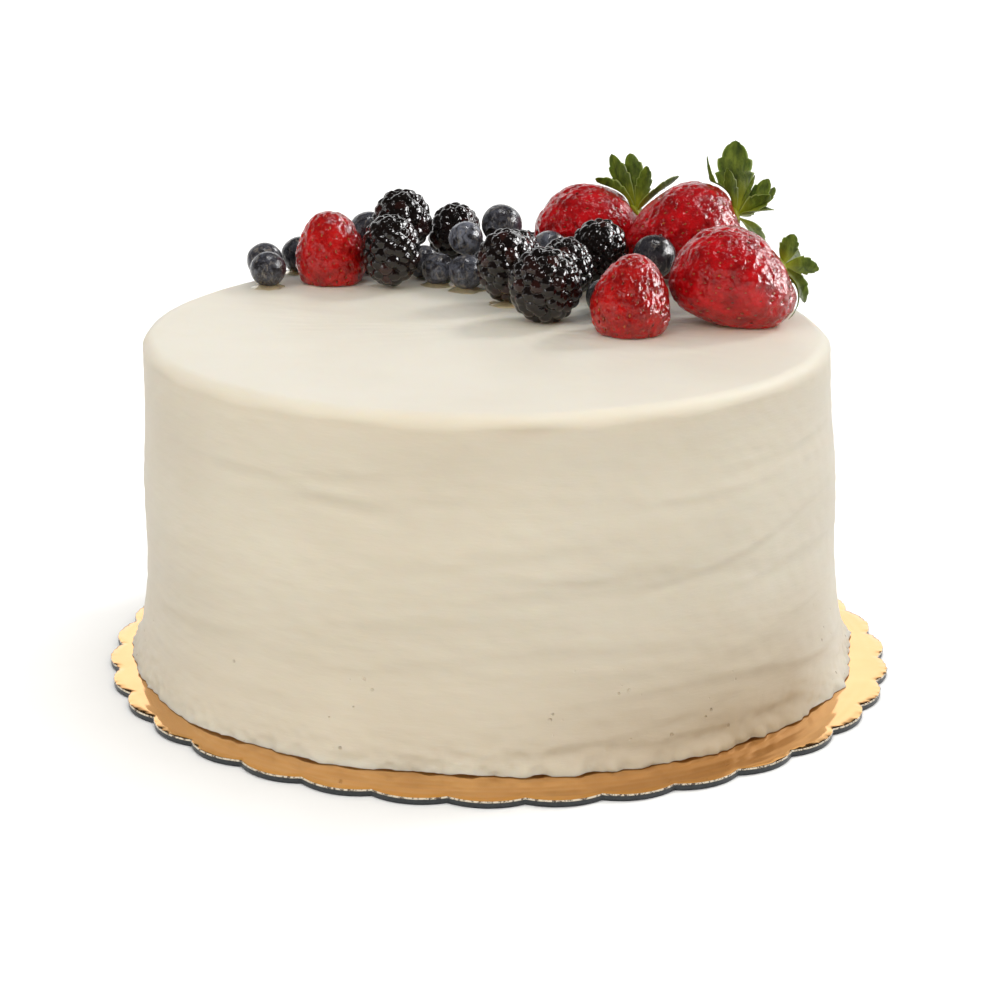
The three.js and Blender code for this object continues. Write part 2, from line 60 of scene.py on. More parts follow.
# %% Place the camera
CAMERA_PLACE = (0.0, -0.79365, 0.3006)
CAMERA_DOWN = math.radians(17.39)
CAMERA_ROLL = math.radians(0.414)
CAMERA_LENS = 92.24


def aim_camera(place, down, roll, lens):
    """A camera that looks along +Y and down, rolled about its own line of sight."""
    ahead = np.array([0.0, math.cos(down), -math.sin(down)])
    level = np.array([1.0, 0.0, 0.0])
    up = np.cross(level, ahead)
    right = math.cos(roll) * level + math.sin(roll) * up
    up = math.cos(roll) * up - math.sin(roll) * level
    camera = bpy.data.objects.new("camera", bpy.data.cameras.new("camera"))
    bpy.context.scene.collection.objects.link(camera)
    camera.matrix_world = Matrix([[right[i], up[i], -ahead[i], place[i]] for i in range(3)]
                                 + [[0.0, 0.0, 0.0, 1.0]])
    camera.data.lens = lens
    camera.data.sensor_width = 36.0
    bpy.context.scene.camera = camera
    return camera


camera = aim_camera(CAMERA_PLACE, CAMERA_DOWN, CAMERA_ROLL, CAMERA_LENS)
print("camera at", tuple(camera.location))

# %% [markdown]
# ## Meshes from arrays
# Every shape below is a stack of rings between two poles, or a blade with two faces. Numpy
# makes all the points at once, and foreach_set copies them into the mesh, which is far
# quicker than adding vertices one by one.

# %% Helpers that turn arrays into pieces
DRESSED = bpy.data.collections.new("dressed")
FRUIT = bpy.data.collections.new("fruit")


def new_piece(name, points, quads, triangles, material, nodes=(), slot=None, layers=None):
    """A smooth mesh object from points in millimetres and faces given as index arrays."""
    mesh = bpy.data.meshes.new(name)
    corners = np.concatenate([quads.ravel(), triangles.ravel()]).astype(np.int32)
    starts = np.concatenate([4 * np.arange(len(quads)),
                             4 * len(quads) + 3 * np.arange(len(triangles))])
    mesh.vertices.add(len(points))
    mesh.vertices.foreach_set("co", (np.asarray(points) * MM).astype(np.float32).ravel())
    mesh.loops.add(len(corners))
    mesh.loops.foreach_set("vertex_index", corners)
    mesh.polygons.add(len(starts))
    mesh.polygons.foreach_set("loop_start", starts.astype(np.int32))
    mesh.polygons.foreach_set("use_smooth", np.ones(len(starts), dtype=bool))
    for layer, values in (layers or {}).items():
        store = mesh.attributes.new(layer, "FLOAT", "POINT").data
        store.foreach_set("value", np.asarray(values, dtype=np.float32).ravel())
    mesh.update(calc_edges=True)
    mesh.validate()
    mesh.materials.append(material)
    piece = bpy.data.objects.new(name, mesh)
    bpy.context.scene.collection.objects.link(piece)
    DRESSED.objects.link(piece)
    if slot not in ("frosting", "gold_foil"):
        FRUIT.objects.link(piece)
    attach(piece, "root")
    if nodes:
        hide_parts(*nodes)
    return piece


NO_QUADS = np.zeros((0, 4), dtype=int)


def ring_faces(rows, around):
    """Faces of a closed stack of rings: fans at both poles and quads between the rings.
    Point 0 is the lower pole, then the rings row by row, then the upper pole."""
    ring = 1 + np.arange(rows)[:, None] * around + np.arange(around)
    after = np.roll(ring, -1, axis=1)
    quads = np.stack([ring[:-1], after[:-1], after[1:], ring[1:]], axis=-1).reshape(-1, 4)
    low = np.stack([np.zeros(around, dtype=int), after[0], ring[0]], axis=-1)
    high = np.stack([ring[-1], after[-1], np.full(around, 1 + rows * around)], axis=-1)
    return quads, np.vstack([low, high])


def stacked(low, rings, high):
    """The points of a stack of rings in the order that ring_faces expects."""
    return np.vstack([low, rings.reshape(-1, rings.shape[-1]), high])


def axis_turn(lean, bearing):
    """The turn that carries +Z to the direction lean degrees off upright towards bearing."""
    tilt, way = np.radians(lean), np.radians(bearing)
    axis = np.array([np.sin(tilt) * np.cos(way), np.sin(tilt) * np.sin(way), np.cos(tilt)])
    across = np.cross([0.0, 0.0, 1.0], axis)
    skew = np.array([[0, -across[2], across[1]], [across[2], 0, -across[0]],
                     [-across[1], across[0], 0]])
    return np.eye(3) + skew + skew @ skew / (1 + axis[2])


def seated(points, node):
    """The shift that brings the top of the points' box, and its middle from above, to the
    node's. The bottom is left out, because the solid is cut off where it meets the cake."""
    low, high = (np.array(corner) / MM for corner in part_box(node))
    shift = (low + high) / 2 - (points.min(axis=0) + points.max(axis=0)) / 2
    shift[2] = high[2] - points[:, 2].max()
    return shift


def pressed_in(points, node):
    """Flattens what would be below the node's lowest face, where the frosting is."""
    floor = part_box(node)[0][2] / MM
    return np.column_stack([points[:, :2], np.maximum(points[:, 2], floor)])


def waves(points, size, seed, count=24):
    """Unevenness between about -1 and 1: a sum of sine waves, each about size long, that
    run in random directions through space. Points that touch get the same value."""
    rng = np.random.default_rng(seed)
    points = np.asarray(points, dtype=float)
    ways = rng.normal(size=(count, points.shape[-1]))
    ways /= np.linalg.norm(ways, axis=1, keepdims=True) * size * rng.uniform(0.7, 1.5, (count, 1))
    phases = rng.uniform(0, 2 * np.pi, count)
    return np.sin(2 * np.pi * points @ ways.T + phases).sum(axis=-1) / math.sqrt(count)


def smooth_step(low, high, value):
    """0 below low, 1 above high, and an even S curve between them."""
    share = np.clip((value - low) / (high - low), 0, 1)
    return share * share * (3 - 2 * share)


# %% [markdown]
# ## Finishes from shader nodes
# A finish here is one Principled shader fed by a few patterns. The patterns read Object
# coordinates, so they sit still on the piece, and small relief goes through a Bump node.

# %% Helpers that build node trees
def new_finish(name, roughness, **sockets):
    """A material with one Principled shader, whose plain numbers are set on its sockets."""
    finish = bpy.data.materials.new(name)
    finish.use_nodes = True
    shader = finish.node_tree.nodes["Principled BSDF"]
    shader.inputs["Roughness"].default_value = roughness
    for socket, value in sockets.items():
        shader.inputs[socket.replace("_", " ")].default_value = value
    return finish, finish.node_tree, shader


def join(tree, outlet, inlet):
    """Links an outlet, or sets a plain value, on an inlet."""
    if isinstance(outlet, bpy.types.NodeSocket):
        tree.links.new(outlet, inlet)
    else:
        inlet.default_value = outlet


def place_on_object(tree):
    """The Object coordinates of the point being shaded."""
    return tree.nodes.new("ShaderNodeTexCoord").outputs["Object"]


def noise(tree, where, scale, detail=3.0, roughness=0.5, distortion=0.0):
    """Cloudy noise between 0 and 1, with about scale blobs to the metre."""
    node = tree.nodes.new("ShaderNodeTexNoise")
    join(tree, where, node.inputs["Vector"])
    node.inputs["Scale"].default_value = scale
    node.inputs["Detail"].default_value = detail
    node.inputs["Roughness"].default_value = roughness
    node.inputs["Distortion"].default_value = distortion
    return node.outputs["Fac"]


def stretched(tree, where, factors):
    """The coordinates scaled by a factor along each axis."""
    node = tree.nodes.new("ShaderNodeMapping")
    join(tree, where, node.inputs["Vector"])
    node.inputs["Scale"].default_value = factors
    return node.outputs["Vector"]


def graded(tree, value, stops):
    """A colour for each value from 0 to 1, given as (position, (red, green, blue))."""
    node = tree.nodes.new("ShaderNodeValToRGB")
    join(tree, value, node.inputs["Fac"])
    band = node.color_ramp
    while len(band.elements) < len(stops):
        band.elements.new(0.5)
    for element, (position, colour) in zip(band.elements, stops):
        element.position = position
        element.color = (*colour, 1.0)
    return node.outputs["Color"]


def mapped(tree, value, low, high, to_low=0.0, to_high=1.0):
    """A value moved from one range to another and held inside it."""
    node = tree.nodes.new("ShaderNodeMapRange")
    join(tree, value, node.inputs["Value"])
    for socket, number in zip(("From Min", "From Max", "To Min", "To Max"),
                              (low, high, to_low, to_high)):
        node.inputs[socket].default_value = number
    return node.outputs["Result"]


def mixed(tree, share, first, second, blend="MIX"):
    """Two colours mixed by a share from 0 to 1."""
    node = tree.nodes.new("ShaderNodeMix")
    node.data_type = "RGBA"
    node.blend_type = blend
    join(tree, share, node.inputs["Factor"])
    colours = [socket for socket in node.inputs if socket.type == "RGBA"]
    for socket, colour in zip(colours, (first, second)):
        join(tree, colour if isinstance(colour, bpy.types.NodeSocket) else (*colour, 1.0), socket)
    return next(socket for socket in node.outputs if socket.type == "RGBA")


def sums(tree, operation, first, second):
    """One Math node."""
    node = tree.nodes.new("ShaderNodeMath")
    node.operation = operation
    join(tree, first, node.inputs[0])
    join(tree, second, node.inputs[1])
    return node.outputs[0]


def layer(tree, name):
    """A number stored on the piece's points."""
    node = tree.nodes.new("ShaderNodeAttribute")
    node.attribute_name = name
    return node.outputs["Fac"]


def relief(tree, height, depth, shader, strength=1.0, under=None, coat=False):
    """Bumps the shading by a height pattern that is depth metres deep."""
    node = tree.nodes.new("ShaderNodeBump")
    node.inputs["Strength"].default_value = strength
    node.inputs["Distance"].default_value = depth
    join(tree, height, node.inputs["Height"])
    if under:
        join(tree, under, node.inputs["Normal"])
    join(tree, node.outputs["Normal"], shader.inputs["Normal"])
    if coat:
        join(tree, node.outputs["Normal"], shader.inputs["Coat Normal"])
    return node.outputs["Normal"]


# %% [markdown]
# ## The studio
# The photograph was lit by a bright room: the frosting is evenly bright all round, its shadows
# are faint, and yet the wet berries show a few hard white patches. So the light is made in two
# parts. Six broad suns stand for the white walls of the room; they light colours only and are
# not reflected, because a wet berry would look milky under them. A few softboxes then give
# the reflections. The window does both, and it is what throws the soft shadows to the left.
# The floor has a lamp of its own, so that it stays as white as paper right up to the board.
# The bright band behind the cake is what the foil reflects in the photograph's view; from the
# sides, the back and above the foil meets the dim rest of the room and looks dark.

# %% Floor, world and lights
FLOOR_HALF = 9.0
CEILING, HORIZON, BACKDROP = 0.04, 0.06, 1.6
WALLS = [  # name, way the light comes from, spread in degrees, colour times strength
    ("wall_front", (0.0, -1.0, 0.12), 90, (0.96, 0.92, 0.75)),
    ("wall_left", (-0.95, -0.3, 0.25), 80, (0.70, 0.60, 0.44)),
    ("wall_right", (0.95, -0.35, 0.25), 80, (0.76, 0.78, 0.82)),
    ("ceiling_light", (0.0, 0.0, 1.0), 110, (0.86, 0.97, 1.10)),
    ("corner_left", (-0.6, -0.6, 0.5), 60, (0.92, 0.90, 0.92)),
    ("corner_right", (0.6, -0.6, 0.5), 60, (0.58, 0.47, 0.34)),
]
PANELS = [  # name, place, width, height, power: seen in the fruit's gloss only
    ("panel_right", (1.50, 0.0, 0.54), 1.0, 0.9, 54.0),
    ("panel_left", (-2.2, -1.67, 0.6), 0.9, 0.9, 8.0),
    ("panel_above", (0.3, 0.0, 4.0), 0.7, 0.7, 34.0),
]

floor_finish, tree, shader = new_finish("studio_floor", 0.8, Specular_IOR_Level=0.0)
grain = noise(tree, place_on_object(tree), 40.0)
join(tree, graded(tree, grain, [(0.0, (0.93, 0.92, 0.90)), (1.0, (0.95, 0.945, 0.93))]),
     shader.inputs["Base Color"])
floor_mesh = bpy.data.meshes.new("floor")
floor_mesh.from_pydata([(-FLOOR_HALF, -FLOOR_HALF, 0), (FLOOR_HALF, -FLOOR_HALF, 0),
                        (FLOOR_HALF, FLOOR_HALF, 0), (-FLOOR_HALF, FLOOR_HALF, 0)],
                       [], [(0, 1, 2, 3)])
floor_mesh.materials.append(floor_finish)
floor = bpy.data.objects.new("floor", floor_mesh)
bpy.context.scene.collection.objects.link(floor)
floor.visible_diffuse = False  # its white must not light the cake's wall from below


def light_world(ceiling, horizon, backdrop):
    """A dim ceiling and horizon, and a bright band on the wall behind the cake (+Y). The band
    is a product of three ramps: how far a way points to +Y, and its lower and upper ends."""
    world = bpy.data.worlds.new("studio")
    bpy.context.scene.world = world
    world.use_nodes = True
    tree = world.node_tree
    outlook = tree.nodes.new("ShaderNodeTexCoord").outputs["Generated"]
    way = tree.nodes.new("ShaderNodeSeparateXYZ")
    join(tree, outlook, way.inputs[0])
    level = mapped(tree, way.outputs["Z"], 0.14, 0.30, horizon, ceiling)
    behind = mapped(tree, way.outputs["Y"], 0.35, 0.75, 0.0, backdrop)
    above = mapped(tree, way.outputs["Z"], 0.10, 0.22, 0.3, 1.0)
    below = mapped(tree, way.outputs["Z"], 0.40, 0.52, 1.0, 0.0)
    band = sums(tree, "MULTIPLY", above, below)
    level = sums(tree, "MAXIMUM", level, sums(tree, "MULTIPLY", behind, band))
    join(tree, level, tree.nodes["Background"].inputs["Strength"])
    tree.nodes["Background"].inputs["Color"].default_value = (1.0, 1.0, 1.0, 1.0)


def aim_lamp(data, place, target=(0.0, 0.0, 0.08)):
    """Puts a lamp at place and turns it to face target."""
    lamp = bpy.data.objects.new(data.name, data)
    bpy.context.scene.collection.objects.link(lamp)
    away = np.array(place) - np.array(target)
    away /= np.linalg.norm(away)
    side = np.cross([0.0, 1.0, 0.0] if abs(away[2]) > 0.99 else [0.0, 0.0, 1.0], away)
    side /= np.linalg.norm(side)
    up = np.cross(away, side)
    lamp.matrix_world = Matrix([[side[i], up[i], away[i], place[i]] for i in range(3)]
                               + [[0.0, 0.0, 0.0, 1.0]])
    return lamp


def softbox(name, place, width, height, power, colour=(1.0, 1.0, 1.0)):
    """A rectangular area light at place, facing the cake."""
    data = bpy.data.lights.new(name, "AREA")
    data.shape = "RECTANGLE"
    data.size, data.size_y = width, height
    data.energy = power
    data.color = colour
    return aim_lamp(data, place)


def broad_sun(name, way, spread, colour, receivers):
    """A sun as wide as a wall, which lights colours but is not seen in reflections."""
    data = bpy.data.lights.new(name, "SUN")
    data.energy = max(colour)
    data.color = tuple(part / max(colour) for part in colour)
    data.angle = math.radians(spread)
    lamp = aim_lamp(data, tuple(3.0 * part for part in way), (0.0, 0.0, 0.0))
    lamp.visible_glossy = False
    lamp.light_linking.receiver_collection = receivers
    return lamp


light_world(CEILING, HORIZON, BACKDROP)
softbox("window", (2.6, 1.84, 2.5), 0.8, 0.8, 48.0)
for name, way, spread, colour in WALLS:
    broad_sun(name, way, spread, colour, DRESSED)
for name, place, width, height, power in PANELS:
    panel = softbox(name, place, width, height, power)
    panel.visible_diffuse = False
    panel.light_linking.receiver_collection = FRUIT
only_floor = bpy.data.collections.new("only_floor")
only_floor.objects.link(floor)
broad_sun("floor_lamp", (0.05, 0.05, 1.0), 75, (3.4, 3.4, 3.4), only_floor)
print("lamps:", 2 + len(WALLS) + len(PANELS))
bpy.context.scene.view_settings.view_transform = "Standard"

# %% [markdown]
# ## The frosting
# Whipped frosting is spread with a long spatula. It leaves the wall almost plain: shallow
# bands, a few long arcs where the blade lifted, tiny burst bubbles low down, and a rough lip
# where the knife was run round the foot. The wall is a surface of height and angle, so each
# of these marks is a small term added to the radius.

# %% Frosting shape
BOARD_TOP = 2.4
CAKE_HEIGHT = 106.4
CAKE_TOP_RADIUS = 107.0
CAKE_BELLY = 3.6
CAKE_BELLY_POWER = 2.2
CAKE_FOOT_FLARE = 5.1
CAKE_FOOT_HEIGHT = 11.0
CAKE_EDGE_RADIUS = 4.5
CAKE_CENTRE = (-2.25, 3.2)
CAKE_LEAN = -2.2
CAKE_OVAL = 1.3
CAKE_AROUND = 560
WALL_ROWS = 118
EDGE_ROWS = 14
TOP_ROWS = 30
CAKE_TOP = BOARD_TOP + CAKE_HEIGHT
LIP_BEARING, LIP_SPREAD = -1.0, 0.65  # radians: the ragged lip at the right front of the foot
LIP_OUT, LIP_IN = 1.1, 0.5  # how far the lip stands out, and the hollow above it goes in


def wall_relief(height, angle):
    """The broad unevenness that the solid model has: bands, sweeps and a wavy foot."""
    bands = 0.35 * np.sin(height / 7.5 + 1.2 * np.sin(2 * angle))
    sweeps = 0.3 * np.sin(5 * angle + height / 30)
    foot = 0.9 * np.exp(-height / 9) * np.sin(9 * angle + 2 * np.sin(3 * angle))
    return bands + sweeps + foot


def spatula_marks(height, angle, marks, seed):
    """Long shallow arcs. Each is a soft step across its line, which starts at an angle and a
    height, climbs slowly, and fades at both ends."""
    rng = np.random.default_rng(seed)
    total = np.zeros_like(height)
    for _ in range(marks):
        middle, level = rng.uniform(0, 2 * np.pi), rng.uniform(6, 98)
        reach, climb, bend = rng.uniform(0.15, 0.6), rng.uniform(-14, 14), rng.uniform(-30, 30)
        width, depth = rng.uniform(1.6, 4.0), rng.uniform(0.05, 0.16)
        along = np.angle(np.exp(1j * (angle - middle)))
        across = (height - level - climb * along - bend * along ** 2) / width
        fade = np.exp(-(along / reach) ** 2)
        total += depth * fade * across * np.exp(-across ** 2) * 2.3
    return total


def frosting_points(height, radius, angle):
    """Places in the cake for a height above the board, a radius and an angle: the radius
    gets the oval, and the centre line leans."""
    oval = CAKE_OVAL * (1 + np.exp(-height / CAKE_FOOT_HEIGHT)) * np.cos(2 * angle)
    reach = radius + oval * radius / CAKE_TOP_RADIUS
    middle = CAKE_CENTRE[0] + CAKE_LEAN * height / CAKE_HEIGHT
    return np.stack([middle + reach * np.cos(angle), CAKE_CENTRE[1] + reach * np.sin(angle),
                     BOARD_TOP + height + 0 * angle], axis=-1)


def frosting_rings():
    """Rings up the wall, round the edge and over the top, as one array of points."""
    angle = np.linspace(0, 2 * np.pi, CAKE_AROUND, endpoint=False)[None, :]
    edge_start = CAKE_HEIGHT - CAKE_EDGE_RADIUS
    climb = (np.arange(WALL_ROWS) / WALL_ROWS) ** 1.35
    height = (edge_start * climb)[:, None] + 0 * angle
    belly = CAKE_BELLY * (1 - (height / CAKE_HEIGHT) ** CAKE_BELLY_POWER)
    radius = CAKE_TOP_RADIUS + belly + CAKE_FOOT_FLARE * np.exp(-height / CAKE_FOOT_HEIGHT)
    radius += wall_relief(height, angle) + spatula_marks(height, angle, 90, 5)
    plain = np.stack([np.cos(angle) * 109 + 0 * height, np.sin(angle) * 109 + 0 * height,
                      height], axis=-1)
    radius += 0.10 * waves(plain, 26, 11) + 0.05 * waves(plain * [1, 1, 2.2], 9, 12)
    rough = np.exp(-height / 5.0)
    radius += rough * (0.32 * waves(plain, 7, 13) + 0.26 * waves(plain, 3.2, 14))
    foot_gap = 0.5 * np.clip(waves(plain[0], 9, 15), 0, 1)[None, :]
    lip = np.clip(waves(plain[0] * [1, 1, 0], 5, 19) + 0.5, 0, 1.6)[None, :]
    off_lip = np.angle(np.exp(1j * (angle - LIP_BEARING)))
    lip = lip * np.exp(-(off_lip / LIP_SPREAD) ** 2)
    radius += LIP_OUT * lip * np.exp(-((height - 0.6) / 2.2) ** 2)
    radius -= LIP_IN * lip * np.exp(-((height - 5.0) / 2.0) ** 2)
    wall = frosting_points(height, radius, angle)
    wall[..., 2] += foot_gap * np.exp(-height / 1.2) + 0.12
    rim = radius[-1:] - CAKE_EDGE_RADIUS
    turn = (np.arange(EDGE_ROWS) / EDGE_ROWS)[:, None] * np.pi / 2
    soft = 0.35 * waves(plain[-1], 30, 16)[None, :] * np.sin(2 * turn)
    edge = frosting_points(edge_start + CAKE_EDGE_RADIUS * np.sin(turn) + 0 * angle,
                           rim + CAKE_EDGE_RADIUS * np.cos(turn) + soft, angle)
    share = 1 - np.arange(TOP_ROWS)[:, None] / TOP_ROWS
    inner = rim * share
    flat = np.stack([inner * np.cos(angle), inner * np.sin(angle)], axis=-1)
    dip = 0.25 * (1 - np.cos(3 * angle)) * share * (1 - share)
    smear = 0.10 * waves(flat * [1, 2.6], 40, 17) + 0.05 * waves(flat * [1, 3.5], 14, 18)
    top = frosting_points(CAKE_HEIGHT - dip + smear * smooth_step(1.0, 0.9, share),
                          inner, angle)
    return np.concatenate([wall, edge, top])


rings = frosting_rings()
foot_middle = rings[:1].mean(axis=1)
top_middle = rings[-1:].mean(axis=1)
quads, triangles = ring_faces(len(rings), CAKE_AROUND)
print("frosting rings:", rings.shape)

# %% [markdown]
# Frosting is butterfat and air: it is off-white, light travels a few millimetres into it,
# and its shine is soft. The noise tints it by a few hundredths only. Small pits are the
# burst bubbles, so they are kept to the lowest part of the wall, and painted shade darkens
# the colour in each pit. The foot is darker and browner towards the right. The lamps alone
# did not give that, so painted shade in the base colour stands for it; it could be crumb
# under a thin coat or only shade, which one photograph does not settle.

# %% Frosting finish
frosting_finish, tree, shader = new_finish(
    "whipped_frosting", 0.52, Specular_IOR_Level=0.32, Subsurface_Weight=0.35,
    Subsurface_Radius=(1.0, 0.72, 0.45), Subsurface_Scale=0.006)
where = place_on_object(tree)
cloud = noise(tree, where, 22.0, 4.0, 0.55)
cream = graded(tree, cloud, [(0.3, (0.83, 0.765, 0.64)), (0.7, (0.865, 0.81, 0.69))])
streaks = noise(tree, stretched(tree, where, (1.0, 1.0, 4.0)), 120.0, 4.0, 0.6)
skin = relief(tree, streaks, 0.0004, shader, 0.32)
bubbles = tree.nodes.new("ShaderNodeTexVoronoi")
join(tree, where, bubbles.inputs["Vector"])
bubbles.inputs["Scale"].default_value = 260.0
bubbles.inputs["Randomness"].default_value = 1.0
pit = mapped(tree, bubbles.outputs["Distance"], 0.06, 0.16)
rare = mapped(tree, noise(tree, where, 75.0, 2.0), 0.56, 0.62, 1.0, 0.0)
height_node = tree.nodes.new("ShaderNodeSeparateXYZ")
join(tree, where, height_node.inputs[0])
low_down = mapped(tree, height_node.outputs["Z"], 0.012, 0.034)
pits = sums(tree, "MAXIMUM", sums(tree, "MAXIMUM", pit, rare), low_down)
relief(tree, pits, 0.0008, shader, 0.9, under=skin)
# Painted shade: the foot is darkened towards brown, most on the right and least at the sides.
painted_foot_shade = mapped(tree, height_node.outputs["Z"], 0.004, 0.048, 1.0, 0.0)
right_side = mapped(tree, height_node.outputs["X"], -0.01, 0.07, 0.22, 0.95)
round_side = mapped(tree, height_node.outputs["X"], 0.090, 0.108, 1.0, 0.1)
painted_foot_shade = sums(tree, "MULTIPLY", painted_foot_shade, round_side)
cream = mixed(tree, sums(tree, "MULTIPLY", painted_foot_shade, right_side), cream, (0.50, 0.385, 0.255))
# Painted shade: the colour darkens inside each bubble pit.
cream = mixed(tree, mapped(tree, pits, 0.0, 1.0, 0.5, 0.0), cream, (0.40, 0.27, 0.16))
join(tree, cream, shader.inputs["Base Color"])

frosting = new_piece("frosting", stacked(foot_middle, rings, top_middle), quads, triangles,
                     frosting_finish, ["frosted_cake"], "frosting")
print("frosting faces:", len(frosting.data.polygons))

# %% [markdown]
# ## The gold board
# The board is card wrapped in gold foil and stamped out with a scalloped rim. The foil is a
# mirror with a yellow tint, so its look is what it reflects: the cake's own wall in front
# and the bright backdrop at the sides. The cut rim shows the pale card as a thin broken
# line and, below it, a dark edge. A stored number from 0 to 2 says which of these a point is.

# %% Board shape
NOTCH_RADIUS = 124.2
SCALLOP_RADIUS = 127.0
SCALLOPS = 35
BOARD_TURN = math.radians(6.2)
BOARD_AROUND = SCALLOPS * 22


def scallop_reach(angle):
    """How far the rim is from the centre: each scallop is an arc of a circle, met by a ray
    at the arc's centre distance times cosine plus the rest of Pythagoras."""
    half = np.pi / SCALLOPS
    half_chord = NOTCH_RADIUS * np.sin(half)
    rise = SCALLOP_RADIUS - NOTCH_RADIUS * np.cos(half)
    arc = (half_chord ** 2 + rise ** 2) / (2 * rise)
    out = SCALLOP_RADIUS - arc
    turn = (angle - BOARD_TURN) % (2 * half) - half
    return out * np.cos(turn) + np.sqrt(arc ** 2 - (out * np.sin(turn)) ** 2)


def board_rings():
    """Rings from the middle of the underside, out, up the cut rim and back over the top."""
    steps = np.arange(BOARD_AROUND) / BOARD_AROUND
    angle = BOARD_TURN + 2 * np.pi * steps[None, :]
    reach = scallop_reach(angle)
    rim = np.stack([reach[0] * np.cos(angle[0]), reach[0] * np.sin(angle[0])], axis=-1)
    torn = 0.16 * waves(rim, 3.0, 21) + 0.10 * waves(rim, 1.6, 22)
    # (share of the reach, set back from the rim, height, foil 0 / card 1 / dark edge 2)
    rows = [(share, 0.5, 0.0, 1.6) for share in (0.25, 0.6, 0.9, 1.0)]
    rows += [(1, 0.30, 0.05, 2), (1, 0.12, 0.35, 2), (1, 0.05, 0.9, 2), (1, 0.0, 1.5, 2),
             (1, 0.0, 1.78, 2), (1, -0.02, 1.84, 1), (1, 0.02, 2.12, 1), (1, 0.12, 2.26, 1),
             (1, 0.22, 2.31, 0), (1, 0.5, 2.36, 0), (1, 1.0, 2.4, 0)]
    rows += [(share, 1.0 * share, 2.4, 0) for share in np.linspace(0.985, 0.04, 26)]
    share, back, height, kind = (np.array(column)[:, None] for column in zip(*rows))
    loose = np.where((height > 1.6) & (back < 0.6), 1.0, 0.0)
    radius = share * reach - back + loose * torn * 0.6
    lift = 0.10 * waves(np.stack([radius * np.cos(angle), radius * np.sin(angle)], axis=-1),
                        34, 23) * np.where((height >= 2.4) & (share > 0.5), 1.0, 0.0)
    height = height + loose * (0.35 * torn - 0.08) - np.abs(lift) * smooth_step(127, 118, radius)
    return np.stack([radius * np.cos(angle), radius * np.sin(angle), height], axis=-1), \
        kind + 0 * angle


rings, kind = board_rings()
quads, triangles = ring_faces(len(rings), BOARD_AROUND)
kinds = stacked(np.full((1, 1), 1.6), kind[..., None], np.zeros((1, 1)))
print("board rings:", rings.shape)

# %% Foil finish
foil_finish, tree, shader = new_finish(
    "gold_foil", 0.1, Coat_Weight=0.40, Coat_Roughness=0.06, Coat_IOR=1.5)
where = place_on_object(tree)
part = layer(tree, "kind")
card = mapped(tree, part, 0.25, 0.6)
dark = mapped(tree, part, 1.3, 1.75)
fibres = noise(tree, where, 900.0, 3.0, 0.7)
tone = noise(tree, where, 60.0, 3.0)
gold = graded(tree, tone, [(0.3, (0.80, 0.40, 0.10)), (0.7, (0.86, 0.45, 0.13))])
pale = graded(tree, fibres, [(0.42, (0.10, 0.07, 0.05)), (0.52, (0.80, 0.72, 0.58))])
navy = graded(tree, fibres, [(0.3, (0.016, 0.019, 0.022)), (0.7, (0.035, 0.042, 0.048))])
join(tree, mixed(tree, dark, mixed(tree, card, gold, pale), navy), shader.inputs["Base Color"])
join(tree, mapped(tree, part, 0.25, 0.5, 1.0, 0.0), shader.inputs["Metallic"])
join(tree, mapped(tree, part, 0.25, 0.6, 0.1, 0.62), shader.inputs["Roughness"])
rings_out = tree.nodes.new("ShaderNodeTexWave")
rings_out.wave_type = "RINGS"
rings_out.rings_direction = "Z"
join(tree, where, rings_out.inputs["Vector"])
rings_out.inputs["Scale"].default_value = 95.0
rings_out.inputs["Distortion"].default_value = 1.2
rings_out.inputs["Detail Scale"].default_value = 0.4
pressed = relief(tree, rings_out.outputs["Fac"], 0.00004, shader, 0.5, coat=True)
crinkle = noise(tree, where, 45.0, 2.0)
relief(tree, crinkle, 0.0006, shader, 0.25, under=pressed, coat=True)

board = new_piece("gold_board", stacked([[0, 0, 0]], rings, [[0, 0, 2.4]]), quads, triangles,
                  foil_finish, ["cake_board"], "gold_foil", {"kind": kinds})
print("board faces:", len(board.data.polygons))

# %% [markdown]
# ## Strawberries
# A strawberry is a blunt cone whose flesh swells between its seeds. The seeds lie in a
# spiral, each in its own dimple, so the surface is the smooth cone less a small Gaussian
# hollow at every seed. The spiral uses the golden angle, and the seeds are spaced evenly
# over the skin's area. The clear glaze over it is left to the shader's coat.

# %% Strawberry shape
SHOULDER_BIAS = 1.4
SHOULDER_DIMPLE = 0.07
DIMPLE_WIDTH = 0.16
LUMPS = 0.025
GOLDEN_ANGLE = math.pi * (3 - math.sqrt(5))
BERRY_ROWS = 150
BERRY_AROUND = 240
STRAWBERRIES = {
    "strawberry_front": dict(length=37.2, width=35.4, taper=0.38, slant=0.27, lean=74.7,
                             bearing=6, seeds=230, ripple=0.08),
    "strawberry_back": dict(length=37.7, width=32.4, taper=0.41, slant=0.33, lean=69.2,
                            bearing=3, seeds=220, ripple=0.07),
    "strawberry_middle": dict(length=42, width=33, taper=0.4, slant=0, lean=69.5,
                              bearing=3, seeds=240, ripple=0.07),
    "hulled_strawberry_left": dict(length=27.5, width=23.4, taper=0.29, slant=0, lean=176,
                                   bearing=0, seeds=130, ripple=0.10),
    "hulled_strawberry_right": dict(length=29, width=24.6, taper=0.36, slant=0, lean=175,
                                    bearing=160, seeds=140,
                                    ripple=0.10),
}


